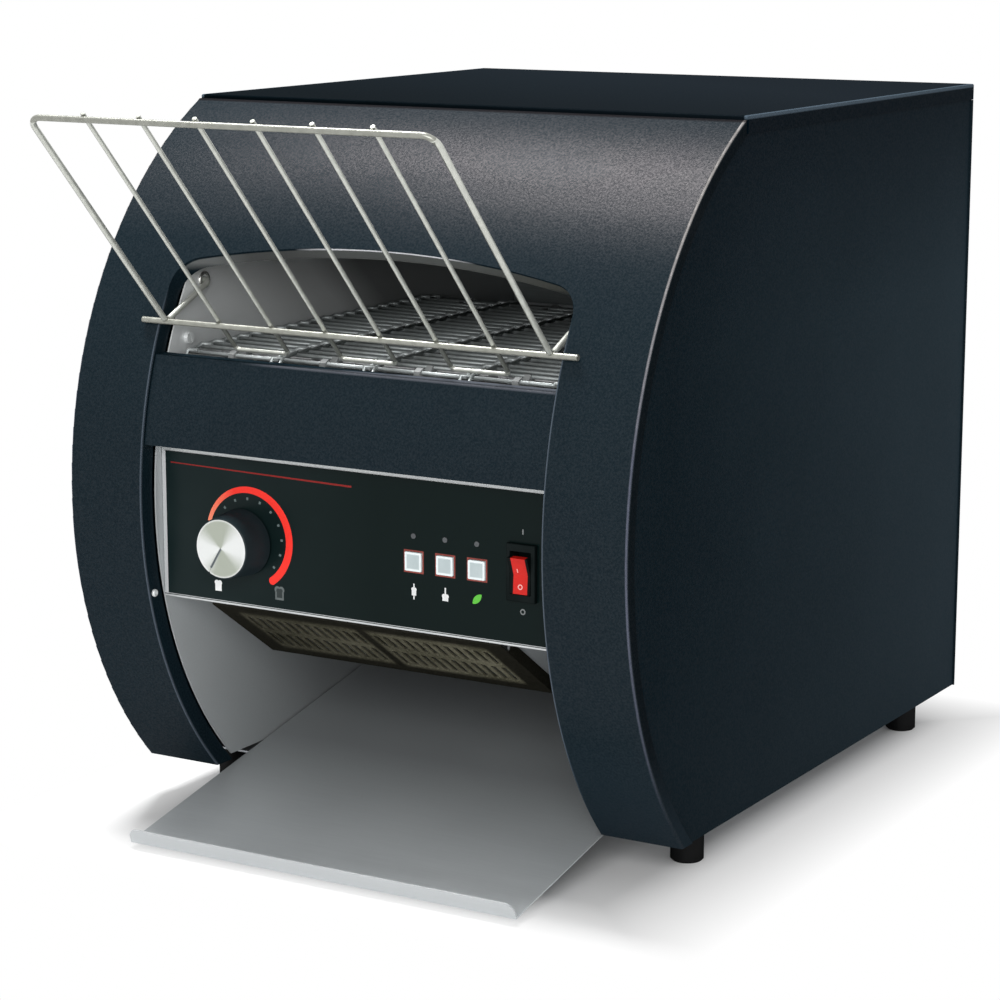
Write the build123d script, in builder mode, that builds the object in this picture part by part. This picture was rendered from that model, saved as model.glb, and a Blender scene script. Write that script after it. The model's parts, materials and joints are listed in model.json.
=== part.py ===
from build123d import *
import os
from math import asin, atan, cos, degrees, pi, radians, sin, sqrt, tan

os.makedirs("parts", exist_ok=True)

# Countertop conveyor toaster. +X to the right, +Y to the back, +Z up, millimetres.
# Heights are measured from the underside of the case, depths from the foremost line of the front cover.

# --- case ---------------------------------------------------------------------------------------------
foot_height = 25.5
foot_diameter = 19.5
foot_inset = 24.5
foot_front_depth = 124.0
foot_rear_inset = 33.0
foot_recess_diameter = 10.0
foot_recess_depth = 12.0
foot_chamfer = 1.2
body_width = 368.0
compartment_width = 53.0
body_depth = 472.0
body_height = 400.4
sheet = 1.2
seat = 0.3
seam = 0.6
wrap_radius = 254.0
wrap_centre_height = 174.5
wrap_top_step = 2.4
wrap_edge_round = 1.0
side_flange = 9.0
leg_setback = 2.0
window_top = 324.5
window_crown_radius = 560.0
window_corner_radius = 19.0
window_flange = 11.0
cover_flange = 10.0
panel_flange = 14.0
base_front_depth = 100.0
vent_length = 30.0
vent_width = 4.0
vent_pitch = 12.0
vent_count = 9
vent_height = 290.0
vent_inset = 26.0

# --- toasting chamber ----------------------------------------------------------------------------------
wall_sheet = 1.0
wall_inset = 11.8
wall_bottom = 4.8
wall_top_drop = 16.4
wall_rear_inset = 42.0
wall_flange = 12.0
bar_bottom = 209.0
bar_top = 260.0
bar_setback = 1.8
bar_fold = 9.0
bar_side_gap = 0.8
bar_tab_depth = 10.0
bar_tab_margin = 7.0
ceiling_rise = 27.5
ceiling_front_drop = 29.0
ceiling_front_depth = 66.0
ceiling_bend_depth = 93.0
shield_gap = 15.1
shield_front_depth = 27.0
shield_rear_depth = 283.0
shield_lip = 8.0

# --- conveyor ------------------------------------------------------------------------------------------
belt_pitch = 12.7
belt_wire = 1.8
belt_side_gap = 4.0
belt_spans = 20
belt_rise = 1.2
belt_hook_rise = 2.3
belt_hook_root = 3.5
belt_hook_reach = 6.0
belt_edge_hook = 7.0
belt_spaces = 4
sprocket_teeth = 8
sprocket_thickness = 4.0
sprocket_clearance = 0.4
tooth_root_width = 8.0
tooth_tip_width = 4.5
tooth_rise = 2.0
tooth_sink = 1.0
idler_depth = 47.0
shaft_diameter = 8.0
shaft_running_gap = 0.05
bushing_diameter = 14.0
bushing_flange_diameter = 20.0
bushing_flange = 2.0
bushing_length = 9.0
shaft_end_play = 0.5
rail_spacing = 120.0
rail_width = 6.0
rail_height = 6.0
rail_gap = 0.4
rail_bar_diameter = 6.0

# --- drive ---------------------------------------------------------------------------------------------
chain_pitch = 6.35
chain_roller = 3.3
chain_inner_width = 3.2
chain_plate = 0.8
chain_plate_height = 5.6
chain_spans = 20
chain_angle = 219.5
shaft_sprocket_teeth = 20
motor_sprocket_teeth = 12
chain_inset = 13.0
chain_plate_point = 1.6
chain_roller_sides = 6
chain_root_gap = 0.3
chain_tooth_width = 2.6
chain_tooth_root = 3.0
chain_tooth_tip = 1.4
chain_tooth_rise = 1.0
chain_hub_wall = 4.0
chain_sprocket_hub = 6.0
motor_shaft_diameter = 6.0
gearbox_width = 50.0
gearbox_height = 50.0
gearbox_length = 28.0
gearbox_shift_y = -13.0
gearbox_shift_z = 7.0
gearbox_boss_diameter = 14.0
gearbox_boss_proud = 2.0
gearbox_corner_radius = 5.0
motor_diameter = 36.0
motor_length = 44.0
motor_cap_length = 6.0
motor_cap_diameter = 12.0

# --- heating -------------------------------------------------------------------------------------------
element_diameter = 8.0
upper_element_drop = 18.0
upper_element_depths = (118.0, 196.0, 274.0)
lower_element_drop = 3.7
lower_element_depths = (112.0, 236.0)
element_overhang = 9.0
element_stud_diameter = 3.0
element_stud_length = 10.0
insulator_diameter = 16.0
insulator_bore_gap = 0.2
insulator_neck = 11.0
insulator_flange = 3.0

# --- control compartment -------------------------------------------------------------------------------
panel_depth = 18.0
panel_bottom = 117.5
panel_seam = 1.0
panel_return = 12.0
overlay_sheet = 0.5
overlay_margin = 2.0
overlay_side_margin = 1.0
floor_rear_depth = 190.0
duct_width = 194.0
duct_drop = 41.0
duct_slope_run = 60.0
duct_rear_depth = 151.0
grille_sheet = 1.0
grille_flange = 7.0
slot_pitch = 6.6
slot_count = 12
slot_width = 3.2
slot_upper_length = 19.0
slot_lower_length = 21.5
slot_upper_start = 14.5
slot_row_gap = 4.5
slot_group_spacing = 87.0
fan_size = 80.0
fan_thickness = 25.0
fan_bore = 76.0
fan_hub_diameter = 34.0
fan_blades = 7
fan_blade_root_chord = 15.0
fan_blade_root_angle = 45.0
fan_blade_tip_chord = 27.0
fan_blade_tip_angle = 28.0
fan_blade_thickness = 1.4
fan_tip_gap = 1.2
fan_corner_radius = 5.0
fan_screw_spacing = 71.5
fan_strut_width = 4.0
fan_strut_height = 3.0
guard_ring_width = 1.6
guard_ring_count = 4
guard_height = 1.6

# --- controls ------------------------------------------------------------------------------------------
knob_inset = 58.0
knob_height = 156.0
knob_base_diameter = 39.0
knob_face_diameter = 35.0
knob_length = 20.6
knob_cap_diameter = 33.6
knob_cap_thickness = 1.0
knob_panel_gap = 0.5
knob_bore_depth = 12.0
knob_rim_chamfer = 0.6
knob_pointer_angle = 240.0
knob_pointer_width = 1.0
knob_pointer_depth = 0.4
spindle_diameter = 6.0
pot_diameter = 24.0
pot_length = 9.0
pot_bush_diameter = 9.0
pot_nut_diameter = 12.0
pot_nut_thickness = 1.5
button_size = 10.6
button_gap = 0.3
button_proud = 1.0
button_travel = 1.0
button_flange = 1.2
button_retainer = 1.0
button_stem_diameter = 4.0
button_rocker_spacing = 28.9
button_pitch = 20.4
button_count = 3
button_height = 157.5
button_round = 0.6
switch_height = 3.5
switch_size = 9.0
lamp_diameter = 3.0
lamp_height = 172.0
lamp_gap = 0.1
lamp_proud = 0.4
board_depth = 15.0
board_sheet = 1.6
board_width = 150.0
board_height = 62.0
board_overhang = 12.5
board_bottom = 128.0
stud_diameter = 4.0
stud_inset = 6.0
rocker_inset = 19.5
rocker_height = 159.5
bezel_width = 18.0
bezel_height = 32.0
bezel_proud = 3.0
bezel_wall = 2.4
bezel_end_wall = 4.0
rocker_gap = 0.35
rocker_face_drop = 1.4
rocker_throw = 16.0
rocker_pivot_depth = 4.0
rocker_proud = 2.2
rocker_body_depth = 18.0
rocker_pin_diameter = 2.4

# --- collector and slide -------------------------------------------------------------------------------
tray_side_gap = 1.0
tray_sheet = 1.0
tray_slope = 0.2
tray_front_depth = -21.0
tray_rear_depth = 258.0
tray_lip = 9.5
tray_lip_lean = 20.0
tray_corner_radius = 6.0
tray_tab_inset = 12.0
tray_tab_width = 30.0
tray_tab_spacing = 200.0
slide_lap = 10.0
slide_straight = 4.0
slide_radius = 213.0
slide_lap_gap = 2.0
slide_side_gap = 0.4
reflector_lap = 8.0

# --- feed rack -----------------------------------------------------------------------------------------
rack_wire = 3.5
rack_rod = 2.6
rack_bar_overlap = 10.4
rack_rest_rise = 19.0
rack_rest_gap = 0.3
rack_angle = 46.7
rack_length = 170.0
rack_side_gap = 4.0
rack_corner_radius = 8.0
rack_rod_count = 6
rack_rod_tail = 24.0
rack_rod_overrun = 2.0
rack_loop_radius = 3.0
rack_hinge_depth = 63.0
rack_hinge_rise = 19.0
rack_hook_length = 9.0
rack_hook_gap = 0.4
rack_bend_radius = 5.0
weld_sink = 0.5

# --- fittings ------------------------------------------------------------------------------------------
screw_head_diameter = 7.0
screw_head_height = 2.2
screw_slot_depth = 0.8
screw_shank_diameter = 3.5
screw_shank_length = 6.0
screw_slot_angle = 25.0
rear_screw_heights = (30.0, 145.0, 260.0, 375.0)
wall_screw_depth = 46.0
wall_screw_rise = 6.0
rivet_height = 120.0
rivet_inset = 4.6
rivet_diameter = 4.4
rivet_proud = 1.6
rivet_shank_diameter = 2.4
rivet_length = 4.0
gland_inset = 34.0
gland_height = 46.0
gland_flange_diameter = 26.0
gland_flange = 4.0
gland_bore = 9.0
gland_thread_diameter = 20.0
gland_length = 12.0
terminal_length = 46.0
terminal_width = 20.0
terminal_height = 16.0
terminal_rear_gap = 26.0
terminal_ways = 4
thermostat_diameter = 17.0
thermostat_length = 10.0
thermostat_depth = 200.0
thermostat_height = 300.0
thermostat_flange = 24.0
relay_width = 28.0
relay_depth = 22.0
relay_height = 26.0
relay_inset = 35.0
relay_behind_panel = 60.0
relay_corner_radius = 2.0
relay_tab_width = 6.3
relay_tab_sheet = 0.8
relay_tab_height = 8.0
terminal_rib = 2.0
terminal_screw_diameter = 4.5
terminal_screw_height = 3.0

# --- shared places -------------------------------------------------------------------------------------
half_width = body_width / 2
half_chamber = half_width - compartment_width
chamber_width = 2 * half_chamber
window_half_width = half_chamber + leg_setback
belt_top = bar_top + belt_rise
rack_rest_height = bar_top + rack_rest_rise
rack_hinge_height = rack_rest_height + rack_hinge_rise
rack_lean = radians(rack_angle)
rack_bar_radius = wrap_radius + rack_wire / 2 + rack_rest_gap
rack_bar_drop = rack_rest_height - wrap_centre_height
rack_bar_depth = wrap_radius - sqrt(rack_bar_radius**2 - rack_bar_drop**2)
rack_reach = rack_length * cos(rack_lean) + rack_wire / 2 - rack_bar_depth
gland_reach = gland_flange
front_y = rack_reach - (rack_reach + body_depth + gland_reach) / 2
base_z = foot_height
wrap_centre = (front_y + wrap_radius, base_z + wrap_centre_height)
wall_top = body_height - wall_top_drop
wall_rear_depth = body_depth - wall_rear_inset
panel_outer_x = half_width - sheet
compartment_outer_x = panel_outer_x - sheet
wall_outer_x = half_chamber + wall_sheet
bench_width = chamber_width - 2 * seat


def at(depth, height):
    """A point of the side view, as (Y, Z)."""
    return (front_y + depth, base_z + height)


def wrap_depth(height, inset=0.0):
    """Depth of the front cover's arc, or of an arc parallel to it, at a height."""
    return wrap_radius - sqrt((wrap_radius - inset) ** 2 - (height - wrap_centre_height) ** 2)


def side_outline(inset, bottom, top, rear_depth, plane=Plane.YZ):
    """Side view bounded in front by an arc parallel to the front cover."""
    with BuildSketch(plane) as outline:
        with Locations(wrap_centre):
            Circle(wrap_radius - inset)
            Rectangle(rear_depth, 2 * wrap_radius, align=(Align.MIN, Align.CENTER))
        with Locations(at(0, bottom)):
            Rectangle(rear_depth, top - bottom, align=(Align.MIN, Align.MIN), mode=Mode.INTERSECT)
    return outline.sketch


def arc_band(outer_inset, inner_inset, bottom, top, plane=Plane.YZ):
    """Side view of a strip that follows the front cover's arc."""
    with BuildSketch(plane) as band:
        with Locations(wrap_centre):
            Circle(wrap_radius - outer_inset)
            Circle(wrap_radius - inner_inset, mode=Mode.SUBTRACT)
        with Locations(at(0, bottom)):
            Rectangle(wrap_radius, top - bottom, align=(Align.MIN, Align.MIN), mode=Mode.INTERSECT)
    return band.sketch


def folded_section(points, thickness, side=Side.LEFT):
    """Side view of a folded sheet with one face along the points."""
    with BuildSketch(Plane.YZ) as section:
        with BuildLine():
            Polyline(*[at(*point) for point in points])
            offset(amount=thickness, side=side)
        make_face()
    return section.sketch


slope_angle = atan(tray_slope)
tray_rest_height = sheet + seat


def tray_underside(depth):
    """Height of the tray's lower face, which rests on the front edge of the base pan."""
    return tray_rest_height + tray_slope * (depth - base_front_depth)


# --- feet ----------------------------------------------------------------------------------------------
foot_x = half_width - foot_inset
foot_places = {
    "foot_front_left": (-foot_x, foot_front_depth),
    "foot_front_right": (foot_x, foot_front_depth),
    "foot_rear_left": (-foot_x, body_depth - foot_rear_inset),
    "foot_rear_right": (foot_x, body_depth - foot_rear_inset),
}
for foot_name, (x, depth) in foot_places.items():
    with BuildPart() as foot:
        with BuildSketch(Plane.XY):
            with Locations((x, front_y + depth)):
                Circle(foot_diameter / 2)
        extrude(amount=foot_height)
        chamfer(foot.edges().sort_by(Axis.Z)[0], foot_chamfer)
        with BuildSketch(Plane.XY):
            with Locations((x, front_y + depth)):
                Circle(foot_recess_diameter / 2)
        extrude(amount=foot_recess_depth, mode=Mode.SUBTRACT)
    foot.part.label = foot_name
    export_step(foot.part, f"parts/{foot_name}.step")

# --- base pan: the floor of the case, with a flange at the back and two tabs under the tray ------------
base_half_width = compartment_outer_x - seat
base_rear_depth = body_depth - 2 * sheet
base_length = base_rear_depth - base_front_depth
tray_tab_depth = tray_rear_depth - tray_tab_inset
with BuildPart() as base_pan:
    with BuildSketch(Plane.XY.offset(base_z)):
        with Locations((0, front_y + base_front_depth)):
            Rectangle(2 * base_half_width, base_length, align=(Align.CENTER, Align.MIN))
    extrude(amount=sheet)
    with BuildSketch(Plane.XY.offset(base_z)):
        with Locations((0, front_y + base_rear_depth)):
            Rectangle(2 * base_half_width, sheet, align=(Align.CENTER, Align.MAX))
    extrude(amount=panel_flange)
    with BuildSketch(Plane.XY.offset(base_z)):
        with Locations((0, front_y + tray_tab_depth)):
            with GridLocations(tray_tab_spacing, 0, 2, 1):
                Rectangle(tray_tab_width, sheet)
    extrude(amount=tray_underside(tray_tab_depth - sheet) - seat)
base_pan.part.label = "base_pan"
export_step(base_pan.part, "parts/base_pan.step")

# --- front cover: one sheet rolled to an arc, with two legs and the feed window between them -----------
wrap_top = body_height - wrap_top_step
cover_front_depth = wrap_depth(wrap_top, sheet) + seam
window_top_depth = wrap_depth(window_top)
window_tilt = degrees(asin((window_top - wrap_centre_height) / wrap_radius))
window_plane = Plane(
    origin=(0, front_y + window_top_depth, base_z + window_top),
    x_dir=(1, 0, 0),
    z_dir=(0, -cos(radians(window_tilt)), sin(radians(window_tilt))),
)
window_shoulder_drop = window_crown_radius - sqrt(window_crown_radius**2 - window_half_width**2)
window_prism_depth = 2 * wrap_radius
rivet_depth = wrap_depth(rivet_height) + rivet_inset


def window_outline(clearance):
    """The opening between the legs, crowned at the top, seen square to the sheet at its crown."""
    half = window_half_width + clearance
    shoulder = clearance - window_shoulder_drop
    with BuildSketch(window_plane) as outline:
        with BuildLine():
            ThreePointArc((-half, shoulder), (0, clearance), (half, shoulder))
            Polyline(
                (half, shoulder),
                (half, -window_prism_depth),
                (-half, -window_prism_depth),
                (-half, shoulder),
            )
        make_face()
        fillet(outline.vertices().group_by(Axis.Z)[-1], window_corner_radius + clearance)
    return outline.sketch


with BuildPart() as front_wrap:
    extrude(window_outline(sheet), amount=window_prism_depth, both=True)
    extrude(arc_band(0, window_flange, 0, wrap_top), amount=half_width, both=True, mode=Mode.INTERSECT)
    extrude(arc_band(0, sheet, 0, wrap_top), amount=half_width, both=True)
    for side in (-1, 1):
        flange_plane = Plane.YZ.offset(side * half_width)
        extrude(arc_band(0, side_flange, 0, wrap_top, flange_plane), amount=-side * sheet)
    extrude(window_outline(0), amount=window_prism_depth, both=True, mode=Mode.SUBTRACT)
    with BuildSketch(Plane.YZ):
        with Locations(at(rivet_depth, rivet_height)):
            Circle(rivet_shank_diameter / 2 + insulator_bore_gap)
    extrude(amount=window_half_width + 2 * sheet, both=True, mode=Mode.SUBTRACT)
    with BuildSketch(Plane.YZ):
        with Locations(at(cover_front_depth - seam, body_height - cover_flange - seat)):
            Rectangle(wrap_radius, cover_flange, align=(Align.MIN, Align.MIN))
    extrude(amount=half_width, both=True, mode=Mode.SUBTRACT)
    outer_arcs = front_wrap.edges().filter_by(GeomType.CIRCLE).filter_by(
        lambda edge: abs(edge.radius - wrap_radius) < seat and abs(abs(edge.center().X) - half_width) < seat
    )
    fillet(outer_arcs, wrap_edge_round)
front_wrap.part.label = "front_wrap"
export_step(front_wrap.part, "parts/front_wrap.step")

# --- top cover: a shallow lid over the side panels -----------------------------------------------------
with BuildPart() as top_cover:
    with BuildSketch(Plane.XY.offset(base_z + body_height)):
        with Locations((0, front_y + cover_front_depth)):
            Rectangle(body_width, body_depth - cover_front_depth, align=(Align.CENTER, Align.MIN))
    extrude(amount=-cover_flange)
    cover_rim = top_cover.faces().sort_by(Axis.Z)[-1].edges()
    fillet(cover_rim, wrap_edge_round)
    offset(amount=-sheet, openings=top_cover.faces().sort_by(Axis.Z)[0])
top_cover.part.label = "top_cover"
export_step(top_cover.part, "parts/top_cover.step")

# --- side panels: flat sheets behind the cover's flanges, flanged inwards at the bottom and the back ---
panel_inset = sheet + seat
panel_top_height = body_height - sheet - seat
panel_rear_depth = body_depth - sheet - seat
rear_screw_x = half_width - sheet - panel_flange / 2
with BuildPart() as side_panel_right:
    panel_plane = Plane.YZ.offset(panel_outer_x)
    extrude(side_outline(panel_inset, 0, panel_top_height, panel_rear_depth, panel_plane), amount=-sheet)
    with BuildSketch(Plane.YZ.offset(panel_outer_x)):
        with Locations(at(panel_rear_depth, panel_flange)):
            Rectangle(sheet, panel_top_height - 2 * panel_flange, align=(Align.MAX, Align.MIN))
    extrude(amount=-panel_flange)
    with BuildSketch(Plane.XZ.offset(-(front_y + panel_rear_depth))):
        with Locations(*[(rear_screw_x, base_z + height) for height in rear_screw_heights]):
            Circle(screw_shank_diameter / 2 + insulator_bore_gap)
    extrude(amount=sheet, mode=Mode.SUBTRACT)
    with BuildSketch(Plane.YZ.offset(panel_outer_x)):
        with Locations(at(cover_front_depth - seam, body_height - cover_flange - seat)):
            Rectangle(seam + sheet + seat, cover_flange, align=(Align.MIN, Align.MIN))
    extrude(amount=-sheet, mode=Mode.SUBTRACT)
side_panel_right.part.label = "side_panel_right"
export_step(side_panel_right.part, "parts/side_panel_right.step")

with BuildPart() as side_panel_left:
    mirror(side_panel_right.part, about=Plane.YZ)
side_panel_left.part.label = "side_panel_left"
export_step(side_panel_left.part, "parts/side_panel_left.step")

# --- back panel: screwed over the flanges, with vent slots over the side compartments ------------------
back_height = body_height - cover_flange - seat
gland_x = half_width - gland_inset
with BuildPart() as back_panel:
    with BuildSketch(Plane.XZ.offset(-(front_y + body_depth - sheet))):
        with Locations((0, base_z)):
            Rectangle(body_width, back_height, align=(Align.CENTER, Align.MIN))
        for side in (-1, 1):
            with Locations((side * (half_width - vent_inset), base_z + vent_height)):
                with GridLocations(vent_length, vent_pitch, 1, vent_count):
                    SlotOverall(vent_length, vent_width, mode=Mode.SUBTRACT)
        with Locations((gland_x, base_z + gland_height)):
            Circle(gland_thread_diameter / 2 + insulator_bore_gap, mode=Mode.SUBTRACT)
        for side in (-1, 1):
            with Locations(*[(side * rear_screw_x, base_z + height) for height in rear_screw_heights]):
                Circle(screw_shank_diameter / 2 + insulator_bore_gap, mode=Mode.SUBTRACT)
    extrude(amount=-sheet)
back_panel.part.label = "back_panel"
export_step(back_panel.part, "parts/back_panel.step")

# --- conveyor places -----------------------------------------------------------------------------------
belt_radius = belt_pitch / (2 * sin(pi / sprocket_teeth))
shaft_height = belt_top - belt_wire / 2 - belt_radius
drive_depth = idler_depth + belt_spans * belt_pitch
shaft_places = {"idler": idler_depth, "drive": drive_depth}
belt_width = chamber_width - 2 * belt_side_gap

# --- chain places: the motor sprocket stands a whole number of chain pitches from the shaft's ----------
shaft_chain_radius = chain_pitch / (2 * sin(pi / shaft_sprocket_teeth))
motor_chain_radius = chain_pitch / (2 * sin(pi / motor_sprocket_teeth))
chain_run = chain_spans * chain_pitch
chain_centres = sqrt(chain_run**2 - (shaft_chain_radius - motor_chain_radius) ** 2)
motor_depth = drive_depth + chain_centres * cos(radians(chain_angle))
motor_height = shaft_height + chain_centres * sin(radians(chain_angle))

# --- inner walls: bright sheets each side of the chamber -----------------------------------------------
ceiling_height = window_top + ceiling_rise
upper_element_height = ceiling_height - upper_element_drop
lower_element_height = shaft_height - lower_element_drop
wall_screw_height = bar_top + wall_screw_rise
element_places = [(depth, upper_element_height) for depth in upper_element_depths]
element_places += [(depth, lower_element_height) for depth in lower_element_depths]
rack_hole_radius = rack_wire / 2 + rack_hook_gap
wall_top_length = wall_rear_depth - wrap_depth(wall_top, wall_inset)


def inner_wall(side):
    """One wall with the holes that both walls share."""
    wall_plane = Plane.YZ.offset(side * half_chamber)
    with BuildPart() as wall:
        extrude(
            side_outline(wall_inset, wall_bottom, wall_top, wall_rear_depth, wall_plane),
            amount=side * wall_sheet,
        )
        with BuildSketch(wall_plane):
            with Locations(*[at(depth, shaft_height) for depth in shaft_places.values()]):
                Circle(bushing_diameter / 2 + insulator_bore_gap)
            with Locations(*[at(*place) for place in element_places]):
                Circle(insulator_neck / 2 + insulator_bore_gap)
            with Locations(at(rack_hinge_depth, rack_hinge_height)):
                Circle(rack_hole_radius)
            with Locations(at(wall_screw_depth, wall_screw_height)):
                Circle(screw_shank_diameter / 2 + insulator_bore_gap)
        extrude(amount=side * wall_sheet, mode=Mode.SUBTRACT)
        with BuildSketch(Plane.YZ.offset(side * wall_outer_x)):
            with Locations(at(wall_rear_depth, wall_bottom)):
                Rectangle(wall_sheet, wall_top - wall_bottom, align=(Align.MAX, Align.MIN))
            with Locations(at(wall_rear_depth, wall_top)):
                Rectangle(wall_top_length, wall_sheet, align=(Align.MAX, Align.MAX))
        extrude(amount=side * wall_flange)
    return wall.part


with BuildPart() as inner_wall_left:
    add(inner_wall(-1))
inner_wall_left.part.label = "inner_wall_left"
export_step(inner_wall_left.part, "parts/inner_wall_left.step")

with BuildPart() as inner_wall_right:
    add(inner_wall(1))
    with BuildSketch(Plane.YZ.offset(half_chamber)):
        with Locations(at(motor_depth, motor_height)):
            Circle(gearbox_boss_diameter / 2 + insulator_bore_gap)
    extrude(amount=wall_sheet, mode=Mode.SUBTRACT)
inner_wall_right.part.label = "inner_wall_right"
export_step(inner_wall_right.part, "parts/inner_wall_right.step")

# --- fascia bar below the feed window, rolled parallel to the cover ------------------------------------
bar_half_width = window_half_width - bar_side_gap
bar_tab_bottom = bar_bottom + bar_tab_margin
bar_tab_top = bar_top - bar_tab_margin
with BuildPart() as fascia_bar:
    extrude(arc_band(bar_setback, bar_setback + sheet, bar_bottom, bar_top), amount=bar_half_width, both=True)
    for fold_height in (bar_bottom, bar_top - sheet):
        extrude(
            arc_band(bar_setback, bar_setback + bar_fold, fold_height, fold_height + sheet),
            amount=bar_half_width,
            both=True,
        )
    for side in (-1, 1):
        tab_plane = Plane.YZ.offset(side * (half_chamber - seat))
        extrude(
            arc_band(bar_setback, wall_inset + bar_tab_depth, bar_tab_bottom, bar_tab_top, tab_plane),
            amount=-side * sheet,
        )
    top_fold_edges = fascia_bar.edges().filter_by(Axis.X).group_by(Axis.Z)[-1].sort_by(Axis.Y)[0]
    fillet(top_fold_edges, wrap_edge_round)
fascia_bar.part.label = "fascia_bar"
export_step(fascia_bar.part, "parts/fascia_bar.step")

# --- toast slide: an arc from the rear wall down to the tray, which it overlaps ------------------------
slide_lift = (tray_sheet + slide_lap_gap) / cos(slope_angle)


def slide_underside(depth):
    """Height of the slide's lower face, above the tray."""
    return tray_underside(depth) + slide_lift


slide_front_depth = tray_rear_depth - slide_lap
slide_bend_depth = slide_front_depth + slide_straight
slide_centre_depth = slide_bend_depth - slide_radius * sin(slope_angle)
slide_centre_height = slide_underside(slide_bend_depth) + slide_radius * cos(slope_angle)
slide_rear_depth = slide_centre_depth + slide_radius
with BuildPart() as toast_slide:
    with BuildSketch(Plane.YZ):
        with BuildLine():
            Line(
                at(slide_front_depth, slide_underside(slide_front_depth)),
                at(slide_bend_depth, slide_underside(slide_bend_depth)),
            )
            CenterArc(
                at(slide_centre_depth, slide_centre_height),
                slide_radius,
                degrees(slope_angle) - 90,
                90 - degrees(slope_angle),
            )
            offset(amount=sheet, side=Side.LEFT)
        make_face()
    extrude(amount=half_chamber - slide_side_gap, both=True)
toast_slide.part.label = "toast_slide"
export_step(toast_slide.part, "parts/toast_slide.step")

# --- rear reflector: stands on the slide's upper end ---------------------------------------------------
reflector_depth = slide_rear_depth + seat
with BuildPart() as rear_reflector:
    extrude(
        folded_section(
            (
                (reflector_depth, slide_centre_height - reflector_lap),
                (reflector_depth, ceiling_height + sheet + seat),
                (reflector_depth - panel_flange, ceiling_height + sheet + seat),
            ),
            sheet,
            Side.RIGHT,
        ),
        amount=bench_width / 2,
        both=True,
    )
rear_reflector.part.label = "rear_reflector"
export_step(rear_reflector.part, "parts/rear_reflector.step")

# --- upper reflector: the chamber's ceiling ------------------------------------------------------------
with BuildPart() as upper_reflector:
    extrude(
        folded_section(
            (
                (ceiling_front_depth, ceiling_height - ceiling_front_drop),
                (ceiling_bend_depth, ceiling_height),
                (reflector_depth - seat, ceiling_height),
            ),
            sheet,
        ),
        amount=bench_width / 2,
        both=True,
    )
upper_reflector.part.label = "upper_reflector"
export_step(upper_reflector.part, "parts/upper_reflector.step")

# --- heat shield under the belt: the lid of the control compartment ------------------------------------
shield_height = shaft_height - belt_radius - shield_gap
with BuildPart() as belt_shield:
    extrude(
        folded_section(
            (
                (shield_front_depth, shield_height + shield_lip),
                (shield_front_depth, shield_height),
                (shield_rear_depth, shield_height),
                (shield_rear_depth + shield_lip, shield_height - shield_lip),
            ),
            sheet,
        ),
        amount=bench_width / 2,
        both=True,
    )
belt_shield.part.label = "belt_shield"
export_step(belt_shield.part, "parts/belt_shield.step")

# --- component tray: floor and sloping back of the control compartment ---------------------------------
floor_front_depth = panel_depth + panel_return + seat
fan_depth = duct_rear_depth - sheet - seat - fan_size / 2
with BuildPart() as component_tray:
    extrude(
        folded_section(
            (
                (floor_front_depth, panel_bottom),
                (floor_rear_depth, panel_bottom),
                (shield_rear_depth - seat, shield_height - sheet),
            ),
            sheet,
        ),
        amount=bench_width / 2,
        both=True,
    )
    with BuildSketch(Plane.XY.offset(base_z + panel_bottom)):
        with Locations((0, front_y + fan_depth)):
            Circle(fan_bore / 2)
            with GridLocations(fan_screw_spacing, fan_screw_spacing, 2, 2):
                Circle(screw_shank_diameter / 2 + insulator_bore_gap)
    extrude(amount=sheet, mode=Mode.SUBTRACT)
component_tray.part.label = "component_tray"
export_step(component_tray.part, "parts/component_tray.step")

# --- intake duct: hangs under the compartment's floor around the fan -----------------------------------
duct_top = panel_bottom - seat
duct_bottom = panel_bottom - duct_drop
slope_rear_depth = panel_depth + duct_slope_run
grille_length = sqrt(duct_slope_run**2 + duct_drop**2)
grille_angle = degrees(asin(duct_drop / grille_length))
cheek_half_width = duct_width / 2 - grille_sheet - seat
with BuildPart() as intake_duct:
    extrude(
        folded_section(
            (
                (slope_rear_depth + seat, duct_bottom),
                (duct_rear_depth, duct_bottom),
                (duct_rear_depth, duct_top),
            ),
            sheet,
        ),
        amount=cheek_half_width,
        both=True,
    )
    for side in (-1, 1):
        with BuildSketch(Plane.YZ.offset(side * cheek_half_width)):
            with BuildLine():
                cheek_front = panel_depth + panel_return
                cheek_front_height = panel_bottom - duct_drop * panel_return / duct_slope_run
                Polyline(
                    at(cheek_front, duct_top),
                    at(cheek_front, cheek_front_height + grille_sheet + sheet),
                    at(slope_rear_depth + seat + grille_flange, duct_bottom + sheet),
                    at(slope_rear_depth + seat + grille_flange, duct_bottom),
                    at(duct_rear_depth, duct_bottom),
                    at(duct_rear_depth, duct_top),
                    close=True,
                )
            make_face()
        extrude(amount=-side * sheet)
intake_duct.part.label = "intake_duct"
export_step(intake_duct.part, "parts/intake_duct.step")

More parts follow.
